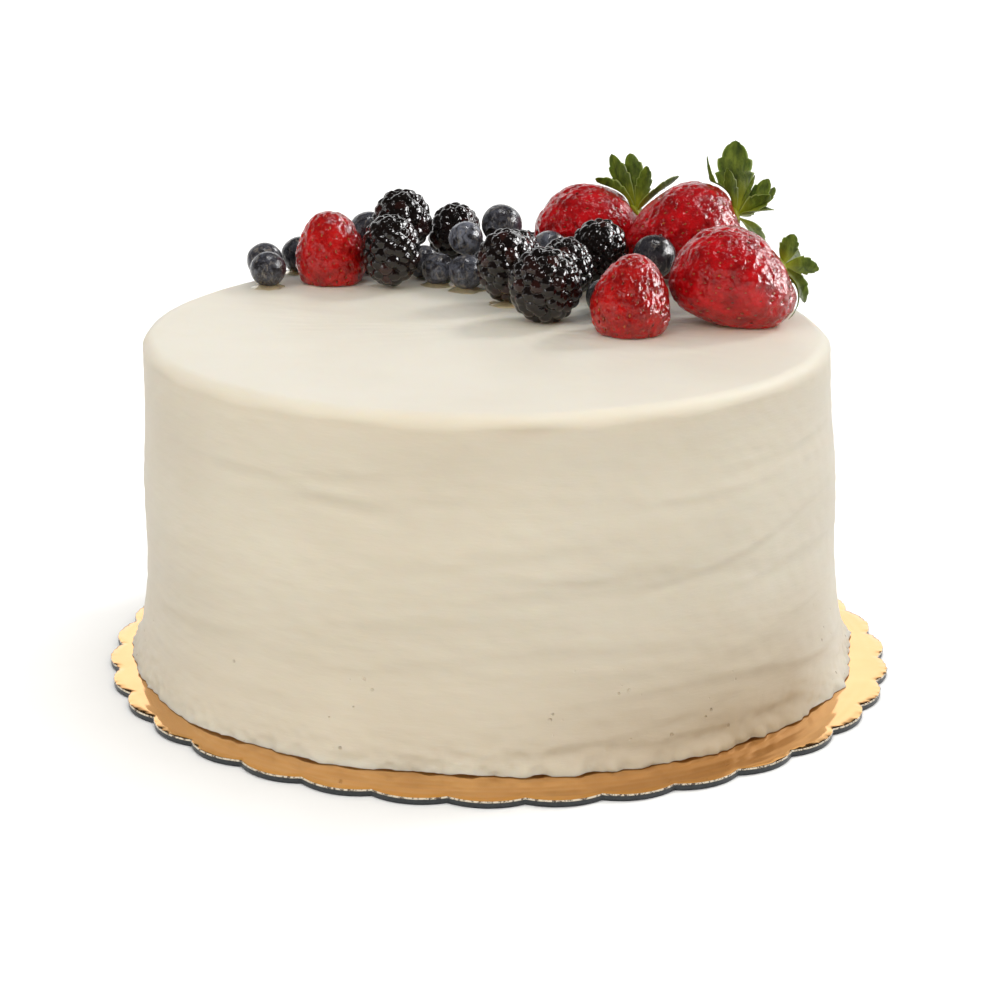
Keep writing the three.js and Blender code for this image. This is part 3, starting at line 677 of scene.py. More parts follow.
def cone_points(berry, along, angle):
    """The smooth berry, tip down: the radius is a sine of the way along, which is bent
    towards the shoulder and then flattened, and the sections slide along the axis."""
    swell = np.sin(np.pi * np.clip(along, 0, 1) ** SHOULDER_BIAS)
    radius = berry["width"] / 2 * np.clip(swell, 0, 1) ** berry["taper"]
    radius = radius * (1 + LUMPS * (np.cos(2 * angle + 1) + 0.5 * np.cos(3 * angle)))
    sunk = SHOULDER_DIMPLE * berry["length"] * np.exp(
        -(radius / (DIMPLE_WIDTH * berry["width"])) ** 2) * (along > 0.7)
    x = radius * np.cos(angle)
    z = berry["length"] * (along - 0.5) - sunk + berry["slant"] * x
    return np.stack([x, radius * np.sin(angle), z], axis=-1)


def seed_places(berry, seed):
    """Where the seeds lie, as a way along and an angle: even steps of skin area, turned by
    the golden angle, with a little scatter."""
    rng = np.random.default_rng(seed)
    fine = np.linspace(0.004, 0.985, 400)
    line = cone_points({**berry, "slant": 0}, fine, np.zeros_like(fine))
    length = np.linalg.norm(np.diff(line, axis=0), axis=1)
    area = np.concatenate([[0], np.cumsum(length * (line[1:, 0] + line[:-1, 0]) / 2)])
    steps = (np.arange(berry["seeds"]) + 0.5) / berry["seeds"]
    along = np.interp(steps * area[-1], area, fine)
    angle = np.arange(berry["seeds"]) * GOLDEN_ANGLE + rng.normal(0, 0.05, berry["seeds"])
    return np.clip(along + rng.normal(0, 0.006, berry["seeds"]), 0.01, 0.985), angle


def outwards(berry, along, angle):
    """The skin's outward direction, from the cross product of two small steps on it."""
    step = 1e-3
    on_skin = cone_points(berry, along, angle)
    up = cone_points(berry, along + step, angle) - on_skin
    round_ = cone_points(berry, along, angle + step) - on_skin
    normal = np.cross(round_, up)
    return normal / np.maximum(np.linalg.norm(normal, axis=-1, keepdims=True), 1e-12)


def berry_skin(berry, seed):
    """Points of the dimpled berry, how far each is from the nearest seed, and the seeds."""
    along = (1 - np.cos(np.pi * np.arange(1, BERRY_ROWS) / BERRY_ROWS)) / 2
    angle = np.linspace(0, 2 * np.pi, BERRY_AROUND, endpoint=False)
    along, angle = np.meshgrid(along, angle, indexing="ij")
    skin = cone_points(berry, along, angle)
    seed_along, seed_angle = seed_places(berry, seed)
    seeds = cone_points(berry, seed_along, seed_angle)
    flat = skin.reshape(-1, 3)
    nearest = np.sqrt(((flat[:, None, :] - seeds[None]) ** 2).sum(-1).min(axis=1))
    nearest = nearest.reshape(along.shape)
    swell = -0.42 * np.exp(-(nearest / 0.8) ** 2) + 0.10 * smooth_step(0.6, 1.7, nearest)
    swell = swell + 0.22 * waves(skin, 9, seed + 1) + berry["ripple"] * waves(skin, 2.4, seed + 2)
    skin = skin + swell[..., None] * outwards(berry, along, angle)
    ends = cone_points(berry, np.array([0.0, 1.0]), np.zeros(2))
    return stacked(ends[:1], skin, ends[1:]), along, nearest, (seed_along, seed_angle)


def seed_points(berry, seed_along, seed_angle):
    """Small teardrop seeds, all in one array: an ellipsoid of a few points is carried to
    each seed's place with its long side towards the shoulder."""
    rows, around = 5, 8
    polar = np.linspace(0, np.pi, rows + 2)[1:-1, None]
    turn = np.linspace(0, 2 * np.pi, around, endpoint=False)[None, :]
    bead = np.stack([0.34 * np.sin(polar) * np.cos(turn), 0.26 * np.sin(polar) * np.sin(turn),
                     -0.58 * np.cos(polar) + 0 * turn], axis=-1)
    bead = stacked([[0, 0, -0.58]], bead, [[0, 0, 0.58]])
    out = outwards(berry, seed_along, seed_angle)
    place = cone_points(berry, seed_along, seed_angle) - 0.42 * out
    up = cone_points(berry, seed_along + 1e-3, seed_angle) - cone_points(
        berry, seed_along, seed_angle)
    up /= np.linalg.norm(up, axis=-1, keepdims=True)
    side = np.cross(out, up)
    points = (place[:, None] + bead[None, :, :1] * side[:, None]
              + bead[None, :, 1:2] * out[:, None] + bead[None, :, 2:] * up[:, None])
    quads, triangles = ring_faces(rows, around)
    shift = (np.arange(len(place)) * len(bead))[:, None, None]
    return points.reshape(-1, 3), (quads[None] + shift).reshape(-1, 4), \
        (triangles[None] + shift).reshape(-1, 3)


# %% [markdown]
# Ripe flesh is a deep clear red: light goes in and comes back redder. The colour brightens a
# little in blotches and pales beside each seed. Over it lies a thick coat of clear glaze with
# its own slow waves, which breaks the lights into long wet glints.

# %% Strawberry finishes
def strawberry_finish(name, deep, bright, pale, cells):
    """Glazed red skin between two reds, with a pale ring round each seed. The glaze is
    bumped at three sizes: slow waves, wiggles of a millimetre, and cells like fine net."""
    finish, tree, shader = new_finish(
        name, 0.4, Specular_IOR_Level=0.05, Subsurface_Weight=0.12,
        Subsurface_Radius=(1.0, 0.05, 0.03), Subsurface_Scale=0.002, Coat_Weight=1.0,
        Coat_Roughness=0.03, Coat_IOR=1.5)
    where = place_on_object(tree)
    blotch = noise(tree, where, 170.0, 4.0, 0.65)
    red = graded(tree, blotch, [(0.36, deep), (0.66, bright)])
    net = tree.nodes.new("ShaderNodeTexVoronoi")
    net.feature = "DISTANCE_TO_EDGE"
    join(tree, where, net.inputs["Vector"])
    net.inputs["Scale"].default_value = 520.0
    line = mapped(tree, net.outputs["Distance"], 0.02, 0.12, cells, 0.0)
    red = mixed(tree, line, red, pale)
    ring = mapped(tree, layer(tree, "seed_distance"), 0.40, 0.80, 0.20, 0.0)
    red = mixed(tree, ring, red, pale)
    shoulder = mapped(tree, layer(tree, "along"), 0.88, 1.0, 0.0, 0.4)
    join(tree, mixed(tree, shoulder, red, pale), shader.inputs["Base Color"])
    slow = relief(tree, noise(tree, where, 240.0, 2.0, 0.5, 0.6), 0.0014, shader, 0.6, coat=True)
    wiggles = relief(tree, noise(tree, where, 900.0, 2.0, 0.5, 0.8), 0.0004, shader, 0.7,
                     under=slow, coat=True)
    relief(tree, mapped(tree, net.outputs["Distance"], 0.0, 0.25), 0.00009, shader,
           min(1.0, 0.2 + cells), under=wiggles, coat=True)
    return finish


ripe_finish = strawberry_finish("ripe_strawberry", (0.21, 0.0002, 0.001),
                                (0.55, 0.002, 0.006), (0.50, 0.010, 0.008), 0.08)
bright_finish = strawberry_finish("bright_strawberry", (0.20, 0.0003, 0.001),
                                  (0.50, 0.004, 0.005), (0.66, 0.035, 0.015), 0.16)
seed_finish, tree, shader = new_finish("strawberry_seed", 0.3, Coat_Weight=0.6,
                                       Coat_Roughness=0.05)
tone = noise(tree, place_on_object(tree), 300.0)
join(tree, graded(tree, tone, [(0.35, (0.10, 0.004, 0.002)), (0.65, (0.40, 0.10, 0.015))]),
     shader.inputs["Base Color"])

# %% Build the strawberries
berry_middles = {}
for number, (node, berry) in enumerate(STRAWBERRIES.items()):
    turn = axis_turn(berry["lean"], berry["bearing"])
    smooth_along, smooth_angle = np.meshgrid(np.linspace(0, 1, 60),
                                             np.linspace(0, 2 * np.pi, 72), indexing="ij")
    smooth = cone_points(berry, smooth_along, smooth_angle).reshape(-1, 3) @ turn.T
    shift = seated(smooth, node)
    points, along, nearest, spots = berry_skin(berry, 40 + number)
    quads, triangles = ring_faces(BERRY_ROWS - 1, BERRY_AROUND)
    finish = bright_finish if node.startswith("hulled") else ripe_finish
    ends = np.zeros((1, 1)), np.ones((1, 1))
    placed = pressed_in(points @ turn.T + shift, node)
    new_piece(node + "_skin", placed, quads, triangles, finish, [node], "strawberry_skin",
              {"along": stacked(ends[0], along[..., None], ends[1]),
               "seed_distance": stacked(ends[1], nearest[..., None], ends[1])})
    points, quads, triangles = seed_points(berry, *spots)
    new_piece(node + "_seeds", pressed_in(points @ turn.T + shift, node), quads, triangles,
              seed_finish, slot="strawberry_skin")
    berry_middles[node] = shift
print("strawberries:", {node: middle.round(1).tolist() for node, middle in berry_middles.items()})

# %% [markdown]
# ## Leaves of the strawberries
# Each calyx is a small hub with narrow leaves that stand up or hang over the shoulder. A
# leaf is a blade with a front and a back face a fraction of a millimetre apart, closed all
# round. Its half width swells and comes to a point, its margin has a few teeth, its midrib
# is a groove, and its spine is a curve from the hub to its tip.

# %% Leaf shape
LEAF_LONG = 44
LEAF_WIDE = 12
LEAF_THICKNESS = 0.55
LEAF_ROOT = 0.6
LEAF_BIAS = 1.25
HUB_RADIUS = 3.2
HUB_THICKNESS = 1.8
CALYX_SEAT = 0.9
LEAF_CLEARANCE = 0.9
CALYXES = {  # tip from the calyx centre, width, bow and twist of each leaf
    "strawberry_back": [
        ((-9, 2, 20), 6.5, -1, 70), ((-2.5, 3, 20), 8, 1, 80), ((-14.5, -1, 12), 7, 1, 60),
        ((3.3, -2, 16.5), 5.5, 1, 80), ((14.5, -2, 13), 5, -9, 70), ((-3, 14, 8), 7, 3, 10),
        ((4, 12, -6), 6, 2, 0)],
    "strawberry_middle": [
        ((-0.6, 3, 25.3), 12.5, -1, 80), ((-3.6, -1, 16.5), 4.5, 0, 75),
        ((-10, 5, 19.5), 3, -5, 30), ((6.1, 0, 14), 1.6, 0.5, 60), ((11, 1, 12.5), 7, 2, 65),
        ((13.5, 4, 9), 6, 3, 55), ((11.5, -2, 7.5), 7, 1.5, 75),
        ((12.8, -4, 2.8), 5.5, 1.5, 65), ((9.8, -8, -10), 6, 2, 45), ((5, 14, 3), 8, 3, 0)],
    "strawberry_front": [
        ((3.5, 0, 10.3), 6, 0, 75), ((11.8, -2, -0.8), 6, 1, 80), ((7.5, -3, -11.5), 5, 3, 70),
        ((2, -7, -16), 4.5, 4, 60), ((6, 12, 5), 7, 2, 10), ((5, 11, -8), 6, 2, 0)],
}


def unit(vector):
    """The same direction, one long."""
    return vector / np.linalg.norm(vector, axis=-1, keepdims=True)


def shoulder_height(berry, distance):
    """How high the shoulder stands above the berry's middle at a distance from its axis."""
    share = np.clip(2 * distance / (berry["width"] * (1 + 1.5 * LUMPS)), 0, 1)
    along = (1 - np.arcsin(share ** (1 / berry["taper"])) / np.pi) ** (1 / SHOULDER_BIAS)
    sunk = SHOULDER_DIMPLE * berry["length"] * np.exp(
        -(distance / (DIMPLE_WIDTH * berry["width"])) ** 2)
    return berry["length"] * (along - 0.5) - sunk


def draped(points, berry, turn, seat):
    """Moves points that would be inside the berry out along its axis."""
    axis, across = turn[:, 2], turn[:, 0]
    up = points @ axis
    distance = np.linalg.norm(points - up[..., None] * axis, axis=-1)
    lowest = (shoulder_height(berry, distance) + berry["slant"] * (points @ across)
              + LEAF_CLEARANCE - seat)
    under = (2 * distance < berry["width"]) & (distance > HUB_RADIUS * 0.7)
    return points + (np.where(under, np.maximum(0, lowest - up), 0))[..., None] * axis


def leaf_points(tip, width, bow, twist, out, drape, seed):
    """The blade's two faces as arrays of length by width, from a quadratic curve for the
    spine, a sine for the half width, and waves that lift the margins."""
    rng = np.random.default_rng(seed)
    end = np.array(tip, dtype=float)
    along = unit(end)
    lift = unit(out - (out @ along) * along)
    root = along * LEAF_ROOT
    bend = end / 2 + lift * bow
    u = np.linspace(0, 1, LEAF_LONG)[:, None]
    spine = (1 - u) ** 2 * root + 2 * u * (1 - u) * bend + u ** 2 * end
    tangent = unit(2 * (1 - u) * (bend - root) + 2 * u * (end - bend))
    normal = unit(lift - (tangent @ lift)[:, None] * tangent)
    side = np.cross(normal, tangent)
    angle = math.radians(twist)
    normal, side = (math.cos(angle) * normal + math.sin(angle) * np.cross(tangent, normal),
                    math.cos(angle) * side + math.sin(angle) * np.cross(tangent, side))
    notch = (u * 5.5 + rng.uniform()) % 1
    teeth = 1 + 0.26 * (notch ** 0.8 - 0.6) * smooth_step(0.4, 0.55, u)
    half = width / 2 * (0.1 + 0.9 * np.sin(np.pi * u ** LEAF_BIAS) ** 0.8) * teeth
    half = half * smooth_step(1.0, 0.985, u) + 0.05
    v = np.linspace(-1, 1, LEAF_WIDE)[None, :]
    ripple = 0.045 * width * np.sin(9 * u + rng.uniform(0, 6)) * v * np.abs(v)
    fold = 0.16 * width * (np.abs(v) ** 1.3) * np.sin(np.pi * u) - 0.02 * width
    blade = spine[:, None] + (v * half)[..., None] * side[:, None]
    blade = drape(blade) + (ripple + fold - 0.12 * np.exp(-(v / 0.12) ** 2) * (1 - u))[
        ..., None] * normal[:, None]
    thick = LEAF_THICKNESS / 2 * (1 - 0.7 * np.abs(v) ** 3) * (1 - 0.6 * u)
    return (blade - thick[..., None] * normal[:, None],
            blade + thick[..., None] * normal[:, None], u + 0 * v, v + 0 * u)


def blade_faces(long, wide):
    """Triangles of a closed blade: the back face, the front face split the same way, and
    the rim between them."""
    low = np.arange(long * wide).reshape(long, wide)
    a, b, c, d = low[:-1, :-1], low[:-1, 1:], low[1:, 1:], low[1:, :-1]
    shift = long * wide
    faces = [np.stack([a, b, c], -1), np.stack([a, c, d], -1),
             np.stack([a, c, b], -1) + shift, np.stack([a, d, c], -1) + shift]
    rim = np.concatenate([low[:, 0], low[-1, 1:], low[-2::-1, -1], low[0, -2:0:-1]])
    after = np.roll(rim, -1)
    faces += [np.stack([rim, after, after + shift], -1),
              np.stack([rim, after + shift, rim + shift], -1)]
    return np.concatenate([face.reshape(-1, 3) for face in faces])


def hub_points(axis):
    """A low rounded button about the axis, where the stalk was pinched off."""
    rows, around = 8, 28
    polar = np.linspace(0, np.pi, rows + 2)[1:-1, None]
    turn = np.linspace(0, 2 * np.pi, around, endpoint=False)[None, :]
    flare = 1 + 0.08 * np.cos(5 * turn)
    ring = np.stack([HUB_RADIUS * np.sin(polar) ** 0.7 * flare * np.cos(turn),
                     HUB_RADIUS * np.sin(polar) ** 0.7 * flare * np.sin(turn),
                     -HUB_THICKNESS * 0.55 * np.cos(polar) + 0 * turn], axis=-1)
    pole = HUB_THICKNESS * 0.55
    return stacked([[0, 0, -pole]], ring, [[0, 0, pole + 0.5]]), ring_faces(rows, around)


# %% Leaf finish
leaf_finish, tree, shader = new_finish(
    "strawberry_leaf", 0.5, Specular_IOR_Level=0.22, Subsurface_Weight=0.2,
    Subsurface_Radius=(0.6, 1.0, 0.1), Subsurface_Scale=0.001)
where = place_on_object(tree)
veins = noise(tree, stretched(tree, where, (1.0, 1.0, 0.45)), 420.0, 4.0, 0.65, 0.4)
green = graded(tree, veins, [(0.32, (0.030, 0.044, 0.004)), (0.5, (0.082, 0.115, 0.009)),
                             (0.68, (0.155, 0.20, 0.02))])
young = mapped(tree, layer(tree, "leaf_along"), 0.0, 0.5, 0.9, 0.0)
green = mixed(tree, young, green, (0.36, 0.38, 0.012))
margin = mapped(tree, layer(tree, "leaf_across"), 0.86, 1.0, 0.0, 0.75)
green = mixed(tree, margin, green, (0.36, 0.42, 0.12))
rib = mapped(tree, layer(tree, "leaf_across"), 0.0, 0.1, 0.6, 0.0)
join(tree, mixed(tree, rib, green, (0.26, 0.33, 0.05)), shader.inputs["Base Color"])
relief(tree, veins, 0.0006, shader, 0.6)

# %% Build the leaves
for number, (node, leaves) in enumerate(CALYXES.items()):
    berry = STRAWBERRIES[node]
    turn = axis_turn(berry["lean"], berry["bearing"])
    axis = turn[:, 2]
    out = unit(axis - berry["slant"] * turn[:, 0])
    seat = berry["length"] * (0.5 - SHOULDER_DIMPLE) + CALYX_SEAT + HUB_THICKNESS / 2
    root = berry_middles[node] + axis * seat
    calyx = node.replace("strawberry", "calyx")
    points, faces, us, vs = [], [], [], []
    for index, (tip, width, bow, twist) in enumerate(leaves):
        low, high, u, v = leaf_points(tip, width, bow, twist, out,
                                      lambda blade: draped(blade, berry, turn, seat),
                                      100 * number + index)
        faces.append(blade_faces(LEAF_LONG, LEAF_WIDE) + sum(len(part) for part in points))
        points.append(np.vstack([low.reshape(-1, 3), high.reshape(-1, 3)]))
        us.append(np.tile(u.ravel(), 2))
        vs.append(np.tile(np.abs(v).ravel(), 2))
    new_piece(calyx + "_leaves", np.vstack(points) + root, NO_QUADS, np.vstack(faces),
              leaf_finish, [calyx], "leaf",
              {"leaf_along": np.concatenate(us), "leaf_across": np.concatenate(vs)})
    hub, (quads, triangles) = hub_points(axis)
    tilt = np.stack([unit(np.cross([0, 1, 0], out)), unit(np.cross(out, np.cross([0, 1, 0], out))),
                     out], axis=1)
    new_piece(calyx + "_hub", hub @ tilt.T + root, quads, triangles, leaf_finish, slot="leaf",
              layers={"leaf_along": np.zeros(len(hub)), "leaf_across": np.full(len(hub), 0.4)})
print("calyxes:", list(CALYXES))

# %% [markdown]
# ## Brambles
# A bramble is a cluster of small juicy balls, the drupelets. Seen from its middle, the
# outermost ball in each direction is the surface, so the radius in a direction is the
# largest of all the distances at which a ray from the middle leaves a ball. Clear glaze has
# run into the furrows, which a lowest radius stands for.

# %% Bramble shape
BRAMBLES = {  # width, height, lean and bearing
    "bramble_1": (24.2, 26, 20, 250), "bramble_2": (19.6, 26.2, 6, 180),
    "bramble_3": (20.4, 25.6, 5, 90), "bramble_4": (20.2, 24.6, 8, 30),
    "bramble_5": (18.8, 22.6, 12, 20), "bramble_6": (18.4, 21.2, 10, 300),
    "bramble_7": (19.2, 22.2, 14, 90), "bramble_8": (19.2, 21.8, 16, 200),
    "bramble_9": (20.8, 23.2, 4, 0),
}
DRUPELET_SPACING = 4.5
BRAMBLE_ROWS = 130
BRAMBLE_AROUND = 190


def bramble_points(width, height, seed):
    """The radius in every direction of a cluster of balls: the ray's way along each ball's
    centre plus the half chord, and the largest of them all."""
    rng = np.random.default_rng(seed)
    size = np.array([width, width, height]) / 2
    count = int(4 * np.pi * (width / 2) * (height / 2) / (0.9 * DRUPELET_SPACING ** 2))
    level = 1 - 2 * (np.arange(count) + 0.5) / count
    turn = np.arange(count) * GOLDEN_ANGLE + rng.normal(0, 0.10, count)
    way = np.stack([np.sqrt(1 - level ** 2) * np.cos(turn),
                    np.sqrt(1 - level ** 2) * np.sin(turn), level], axis=-1)
    way = unit(way + rng.normal(0, 0.035, way.shape))
    ball = DRUPELET_SPACING * rng.uniform(0.52, 0.66, count)
    centres = way * size * (1 - 0.98 * ball / size.mean())[:, None]
    centres *= rng.uniform(0.975, 1.0, (count, 1))
    polar = np.pi * np.arange(1, BRAMBLE_ROWS) / BRAMBLE_ROWS
    around = np.linspace(0, 2 * np.pi, BRAMBLE_AROUND, endpoint=False)
    polar, around = np.meshgrid(polar, around, indexing="ij")
    rays = np.stack([np.sin(polar) * np.cos(around), np.sin(polar) * np.sin(around),
                     -np.cos(polar)], axis=-1)
    rays = stacked([[0, 0, -1]], rays, [[0, 0, 1]])
    nearer = rays @ centres.T
    inside = ball ** 2 - (centres ** 2).sum(axis=1) + nearer ** 2
    reach = np.where(inside > 0, nearer + np.sqrt(np.maximum(inside, 0)), 0)
    radius, which = reach.max(axis=1), reach.argmax(axis=1)
    body = 1 / np.sqrt(((rays / size) ** 2).sum(axis=1))
    film = body * (0.83 + 0.06 * smooth_step(-0.3, 0.8, rays[:, 2])
                   + 0.035 * waves(rays * 10, 9, seed + 7))
    radius = np.maximum(radius, film)
    wet = 0.07 * smooth_step(-0.4, 0.7, rays[:, 2]) * waves(rays * size, 1.9, seed + 8)
    return rays * (radius + wet)[:, None], rng.uniform(size=count)[which], radius / body


# %% [markdown]
# The skin is nearly black, with a purple or dark red tinge in single drupelets that are less
# ripe. The glaze coat is smooth and sharp, so each drupelet carries its own small glint.

# %% Bramble finish
bramble_finish, tree, shader = new_finish(
    "bramble_skin", 0.4, Specular_IOR_Level=0.05, Coat_Weight=1.0, Coat_Roughness=0.03,
    Coat_IOR=1.55)
where = place_on_object(tree)
black = graded(tree, layer(tree, "drupelet"),
               [(0.0, (0.003, 0.0015, 0.001)), (0.75, (0.006, 0.0025, 0.002)),
                (1.0, (0.030, 0.006, 0.004))])
dusk = noise(tree, where, 240.0, 3.0)
join(tree, mixed(tree, mapped(tree, dusk, 0.5, 0.75, 0.0, 0.3), black, (0.020, 0.012, 0.009)),
     shader.inputs["Base Color"])
swells = relief(tree, noise(tree, where, 380.0, 2.0, 0.5, 0.3), 0.0008, shader, 0.4, coat=True)
relief(tree, noise(tree, where, 1000.0, 2.0, 0.5, 0.6), 0.00022, shader, 0.5, under=swells,
       coat=True)

# %% Build the brambles
for number, (node, (width, height, lean, bearing)) in enumerate(BRAMBLES.items()):
    points, tint, depth = bramble_points(width, height, 300 + number)
    turn = axis_turn(lean, bearing)
    solid = points @ turn.T
    quads, triangles = ring_faces(BRAMBLE_ROWS - 1, BRAMBLE_AROUND)
    placed = pressed_in(solid + seated(solid, node), node)
    new_piece(node + "_skin", placed, quads, triangles, bramble_finish, [node],
              "bramble_skin", {"drupelet": tint, "depth": depth})
print("brambles:", len(BRAMBLES), "faces each:", len(quads) + len(triangles))

# %% [markdown]
# ## Blueberries
# A blueberry is a slightly flattened ball with a five-pointed crown sunk into its top. One
# profile runs from the bottom up the side, over the crown's lip and down into the hollow,
# and the lip's radius is waved five times round.

# %% Blueberry shape
BLUEBERRY_FLATTENING = 0.96
CROWN = 0.40
BLUE_SIDE, BLUE_LIP, BLUE_HOLLOW = 52, 8, 10
BLUE_AROUND = 90
BLUEBERRIES = {  # lean and bearing of the crown, and how dusty the skin is
    1: (70, 110, 0.25), 2: (65, 100, 0.35), 3: (60, 100, 0.2), 4: (50, 60, 0.55),
    5: (55, 75, 0.5), 6: (20, 0, 0.6), 7: (50, 80, 0.4), 8: (80, 95, 0.4), 9: (15, 10, 0.3),
    10: (40, 190, 0.5), 11: (65, 310, 0.5), 12: (25, 60, 0.4), 13: (100, 220, 0.4),
    14: (75, 100, 0.5), 15: (45, 270, 0.2), 16: (30, 150, 0.3), 17: (55, 20, 0.2),
    18: (85, 60, 0.3), 19: (35, 20, 0.4), 20: (70, 340, 0.5), 21: (70, 100, 0.3),
    22: (55, 100, 0.9), 23: (110, 240, 0.35), 24: (60, 90, 0.6), 25: (55, 60, 0.1),
}


def blueberry_points(seed):
    """A unit berry: the side is a flattened ball, the lip a raised ring with five lobes, and
    the hollow sinks to a floor. Each is a radius and a height for every step and angle."""
    rng = np.random.default_rng(seed)
    turn = np.linspace(0, 2 * np.pi, BLUE_AROUND, endpoint=False)[None, :]
    edge = np.pi - np.arcsin(CROWN)
    polar = np.linspace(0, edge, BLUE_SIDE + 1)[1:, None]
    side = np.stack([np.sin(polar) + 0 * turn, -np.cos(polar) + 0 * turn], axis=-1)
    lobes = np.cos(5 * turn + rng.uniform(0, 6)) + 0.3 * np.cos(3 * turn + rng.uniform(0, 6))
    rise = np.linspace(0, 1, BLUE_LIP + 1)[1:, None]
    rim = -np.cos(edge)
    lip = np.stack([CROWN * (1 - 0.12 * rise + 0.10 * rise * lobes),
                    rim + 0.10 * np.sin(np.pi / 2 * rise) * (1 + 0.45 * lobes)], axis=-1)
    sink = np.linspace(0, 1, BLUE_HOLLOW + 1)[1:-1, None]
    top_radius, top_height = lip[-1, :, 0], lip[-1, :, 1]
    hollow = np.stack([top_radius * (1 - sink) ** 0.75,
                       top_height - (0.17 + top_height - rim) * smooth_step(0, 0.45, sink)
                       + 0.05 * sink], axis=-1)
    profile = np.concatenate([side, lip, hollow])
    rings = np.stack([profile[..., 0] * np.cos(turn), profile[..., 0] * np.sin(turn),
                      profile[..., 1] * BLUEBERRY_FLATTENING], axis=-1)
    rings *= 1 + 0.012 * waves(rings, 1.1, seed + 3)[..., None]
    crown = np.concatenate([np.zeros(len(side)), np.linspace(0, 1, len(lip)),
                            np.ones(len(hollow))])[:, None] + 0 * turn
    floor_height = (rim - 0.12) * BLUEBERRY_FLATTENING
    points = stacked([[0, 0, -BLUEBERRY_FLATTENING]], rings, [[0, 0, floor_height]])
    return points, stacked([[0]], crown[..., None], [[1]]), len(rings)


# %% Blueberry finish
blueberry_finish, tree, shader = new_finish(
    "blueberry_skin", 0.5, Specular_IOR_Level=0.05, Coat_Weight=1.0, Coat_Roughness=0.06,
    Coat_IOR=1.45)
where = place_on_object(tree)
skin = graded(tree, noise(tree, where, 150.0, 4.0, 0.65),
              [(0.32, (0.004, 0.0035, 0.005)), (0.68, (0.026, 0.022, 0.026))])
dust = noise(tree, where, 260.0, 5.0, 0.7, 1.2)
patchy = mapped(tree, dust, 0.40, 0.60)
dusty = sums(tree, "MULTIPLY", patchy, layer(tree, "bloom"))
skin = mixed(tree, dusty, skin, (0.19, 0.205, 0.26))
# Painted highlights: lighter brownish streaks, stretched upright, put glints and reflections into
# the colour.
painted_streak_highlights = mapped(tree, noise(tree, stretched(tree, where, (1.0, 1.0, 0.4)), 480.0, 4.0, 0.75, 0.8),
                0.52, 0.64, 0.0, 0.7)
skin = mixed(tree, painted_streak_highlights, skin, (0.25, 0.225, 0.20))
cracks = noise(tree, where, 320.0, 2.0, 0.6, 2.0)
crack = mapped(tree, sums(tree, "ABSOLUTE", sums(tree, "SUBTRACT", cracks, 0.5), 0.0),
               0.0, 0.022, 0.7, 0.0)
skin = mixed(tree, crack, skin, (0.006, 0.006, 0.009))
crown_tint = mapped(tree, layer(tree, "crown"), 0.3, 1.0, 0.0, 0.75)
join(tree, mixed(tree, crown_tint, skin, (0.030, 0.022, 0.020)), shader.inputs["Base Color"])
swells = relief(tree, noise(tree, where, 300.0, 3.0, 0.6, 0.6), 0.0009, shader, 0.45, coat=True)
relief(tree, noise(tree, stretched(tree, where, (1.0, 1.0, 0.5)), 1000.0, 3.0, 0.6), 0.0003,
       shader, 0.5, under=swells, coat=True)

# %% Build the blueberries
for number, (lean, bearing, bloom) in BLUEBERRIES.items():
    node = f"blueberry_{number}"
    unit_points, crown, rows = blueberry_points(500 + number)
    low, high = (np.array(corner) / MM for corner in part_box(node))
    turn = axis_turn(lean, bearing)
    solid = unit_points @ turn.T
    solid *= (high - low)[:2].mean() / np.ptp(solid[:, :2], axis=0).mean()
    quads, triangles = ring_faces(rows, BLUE_AROUND)
    placed = pressed_in(solid + seated(solid, node), node)
    new_piece(node + "_skin", placed, quads, triangles, blueberry_finish, [node],
              "blueberry_skin", {"crown": crown, "bloom": np.full(len(solid), bloom)})
print("blueberries:", len(BLUEBERRIES), "faces each:", len(quads) + len(triangles))

# %% [markdown]
# ## Glaze on the frosting
# Where the glaze dripped off the berries it is drawn up round their feet by surface tension,
# so it lies as a small amber skirt: its height falls as a power of the distance from the
# berry, and its outline is waved. The top of the skirt is hidden inside the berry.

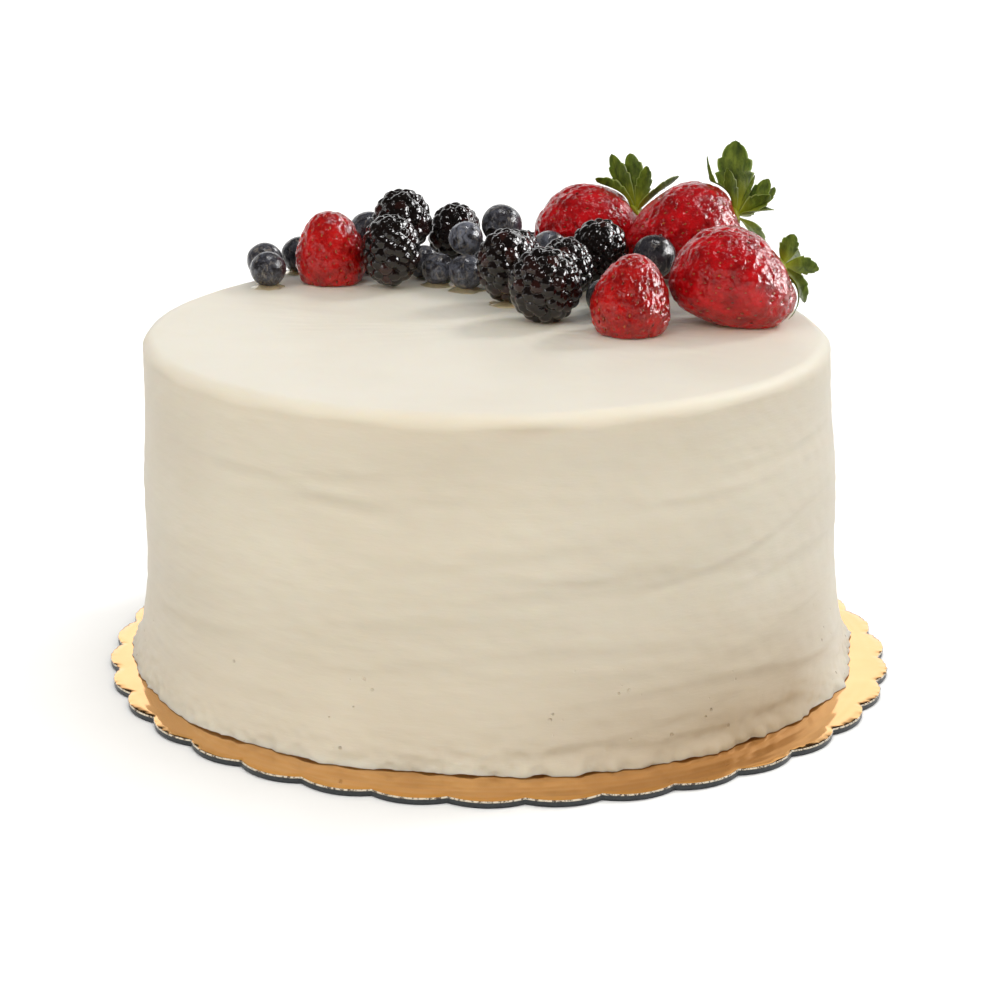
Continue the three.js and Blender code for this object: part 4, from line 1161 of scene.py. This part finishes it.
# %% Glaze skirts
SKIRT_ROWS, SKIRT_AROUND = 12, 72
FOOT_SHARE = 0.36  # a berry stands on about this share of its own width
SKIRTS = {  # how far past the berry's own foot it reaches, and how high it climbs
    "blueberry_2": (1.5, 3.0), "blueberry_3": (1.2, 2.6), "blueberry_4": (2.2, 3.4),
    "blueberry_5": (2.2, 3.4), "bramble_2": (-0.6, 1.2),
}
glaze_finish, tree, shader = new_finish(
    "amber_glaze", 0.04, Transmission_Weight=0.92, IOR=1.42, Coat_Weight=0.6,
    Coat_Roughness=0.02)
join(tree, graded(tree, noise(tree, place_on_object(tree), 60.0),
                  [(0.3, (0.95, 0.80, 0.50)), (0.7, (0.98, 0.88, 0.66))]),
     shader.inputs["Base Color"])


def skirt_points(x, y, reach, height, seed):
    """A heap of glaze with a hollow slope and a wavy outline, closed by its flat underside."""
    turn = np.linspace(0, 2 * np.pi, SKIRT_AROUND, endpoint=False)[None, :]
    circle = np.stack([np.cos(turn[0]), np.sin(turn[0])], axis=-1)
    ragged = 1 + 0.07 * waves(circle, 0.9, seed) + 0.02 * waves(circle, 0.35, seed + 50)
    share = np.linspace(1, 0, SKIRT_ROWS + 1)[:-1, None]
    slope = height * (1 - share) ** 1.6 + 2.5 * np.clip(1 - share, 0, 0.1)
    rings = np.stack([x + reach * share * ragged[None, :] * np.cos(turn),
                      y + reach * share * ragged[None, :] * np.sin(turn),
                      CAKE_TOP - 0.15 + slope + 0 * turn], axis=-1)
    rings = np.concatenate([rings[:1] - [0, 0, 0.3], rings])
    top = CAKE_TOP + 0.1 + height
    return stacked([[x, y, CAKE_TOP - 0.45]], rings, [[x, y, top]]), len(rings)


for number, (node, (past, climb)) in enumerate(SKIRTS.items()):
    low, high = (np.array(corner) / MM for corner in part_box(node))
    x, y = (low + high)[:2] / 2
    foot = FOOT_SHARE * (high - low)[:2].mean()
    points, rows = skirt_points(x, y, foot + past, climb, 700 + number)
    quads, triangles = ring_faces(rows, SKIRT_AROUND)
    new_piece(f"glaze_skirt_{number + 1}", points, quads, triangles, glaze_finish)
print("glaze skirts:", len(SKIRTS))
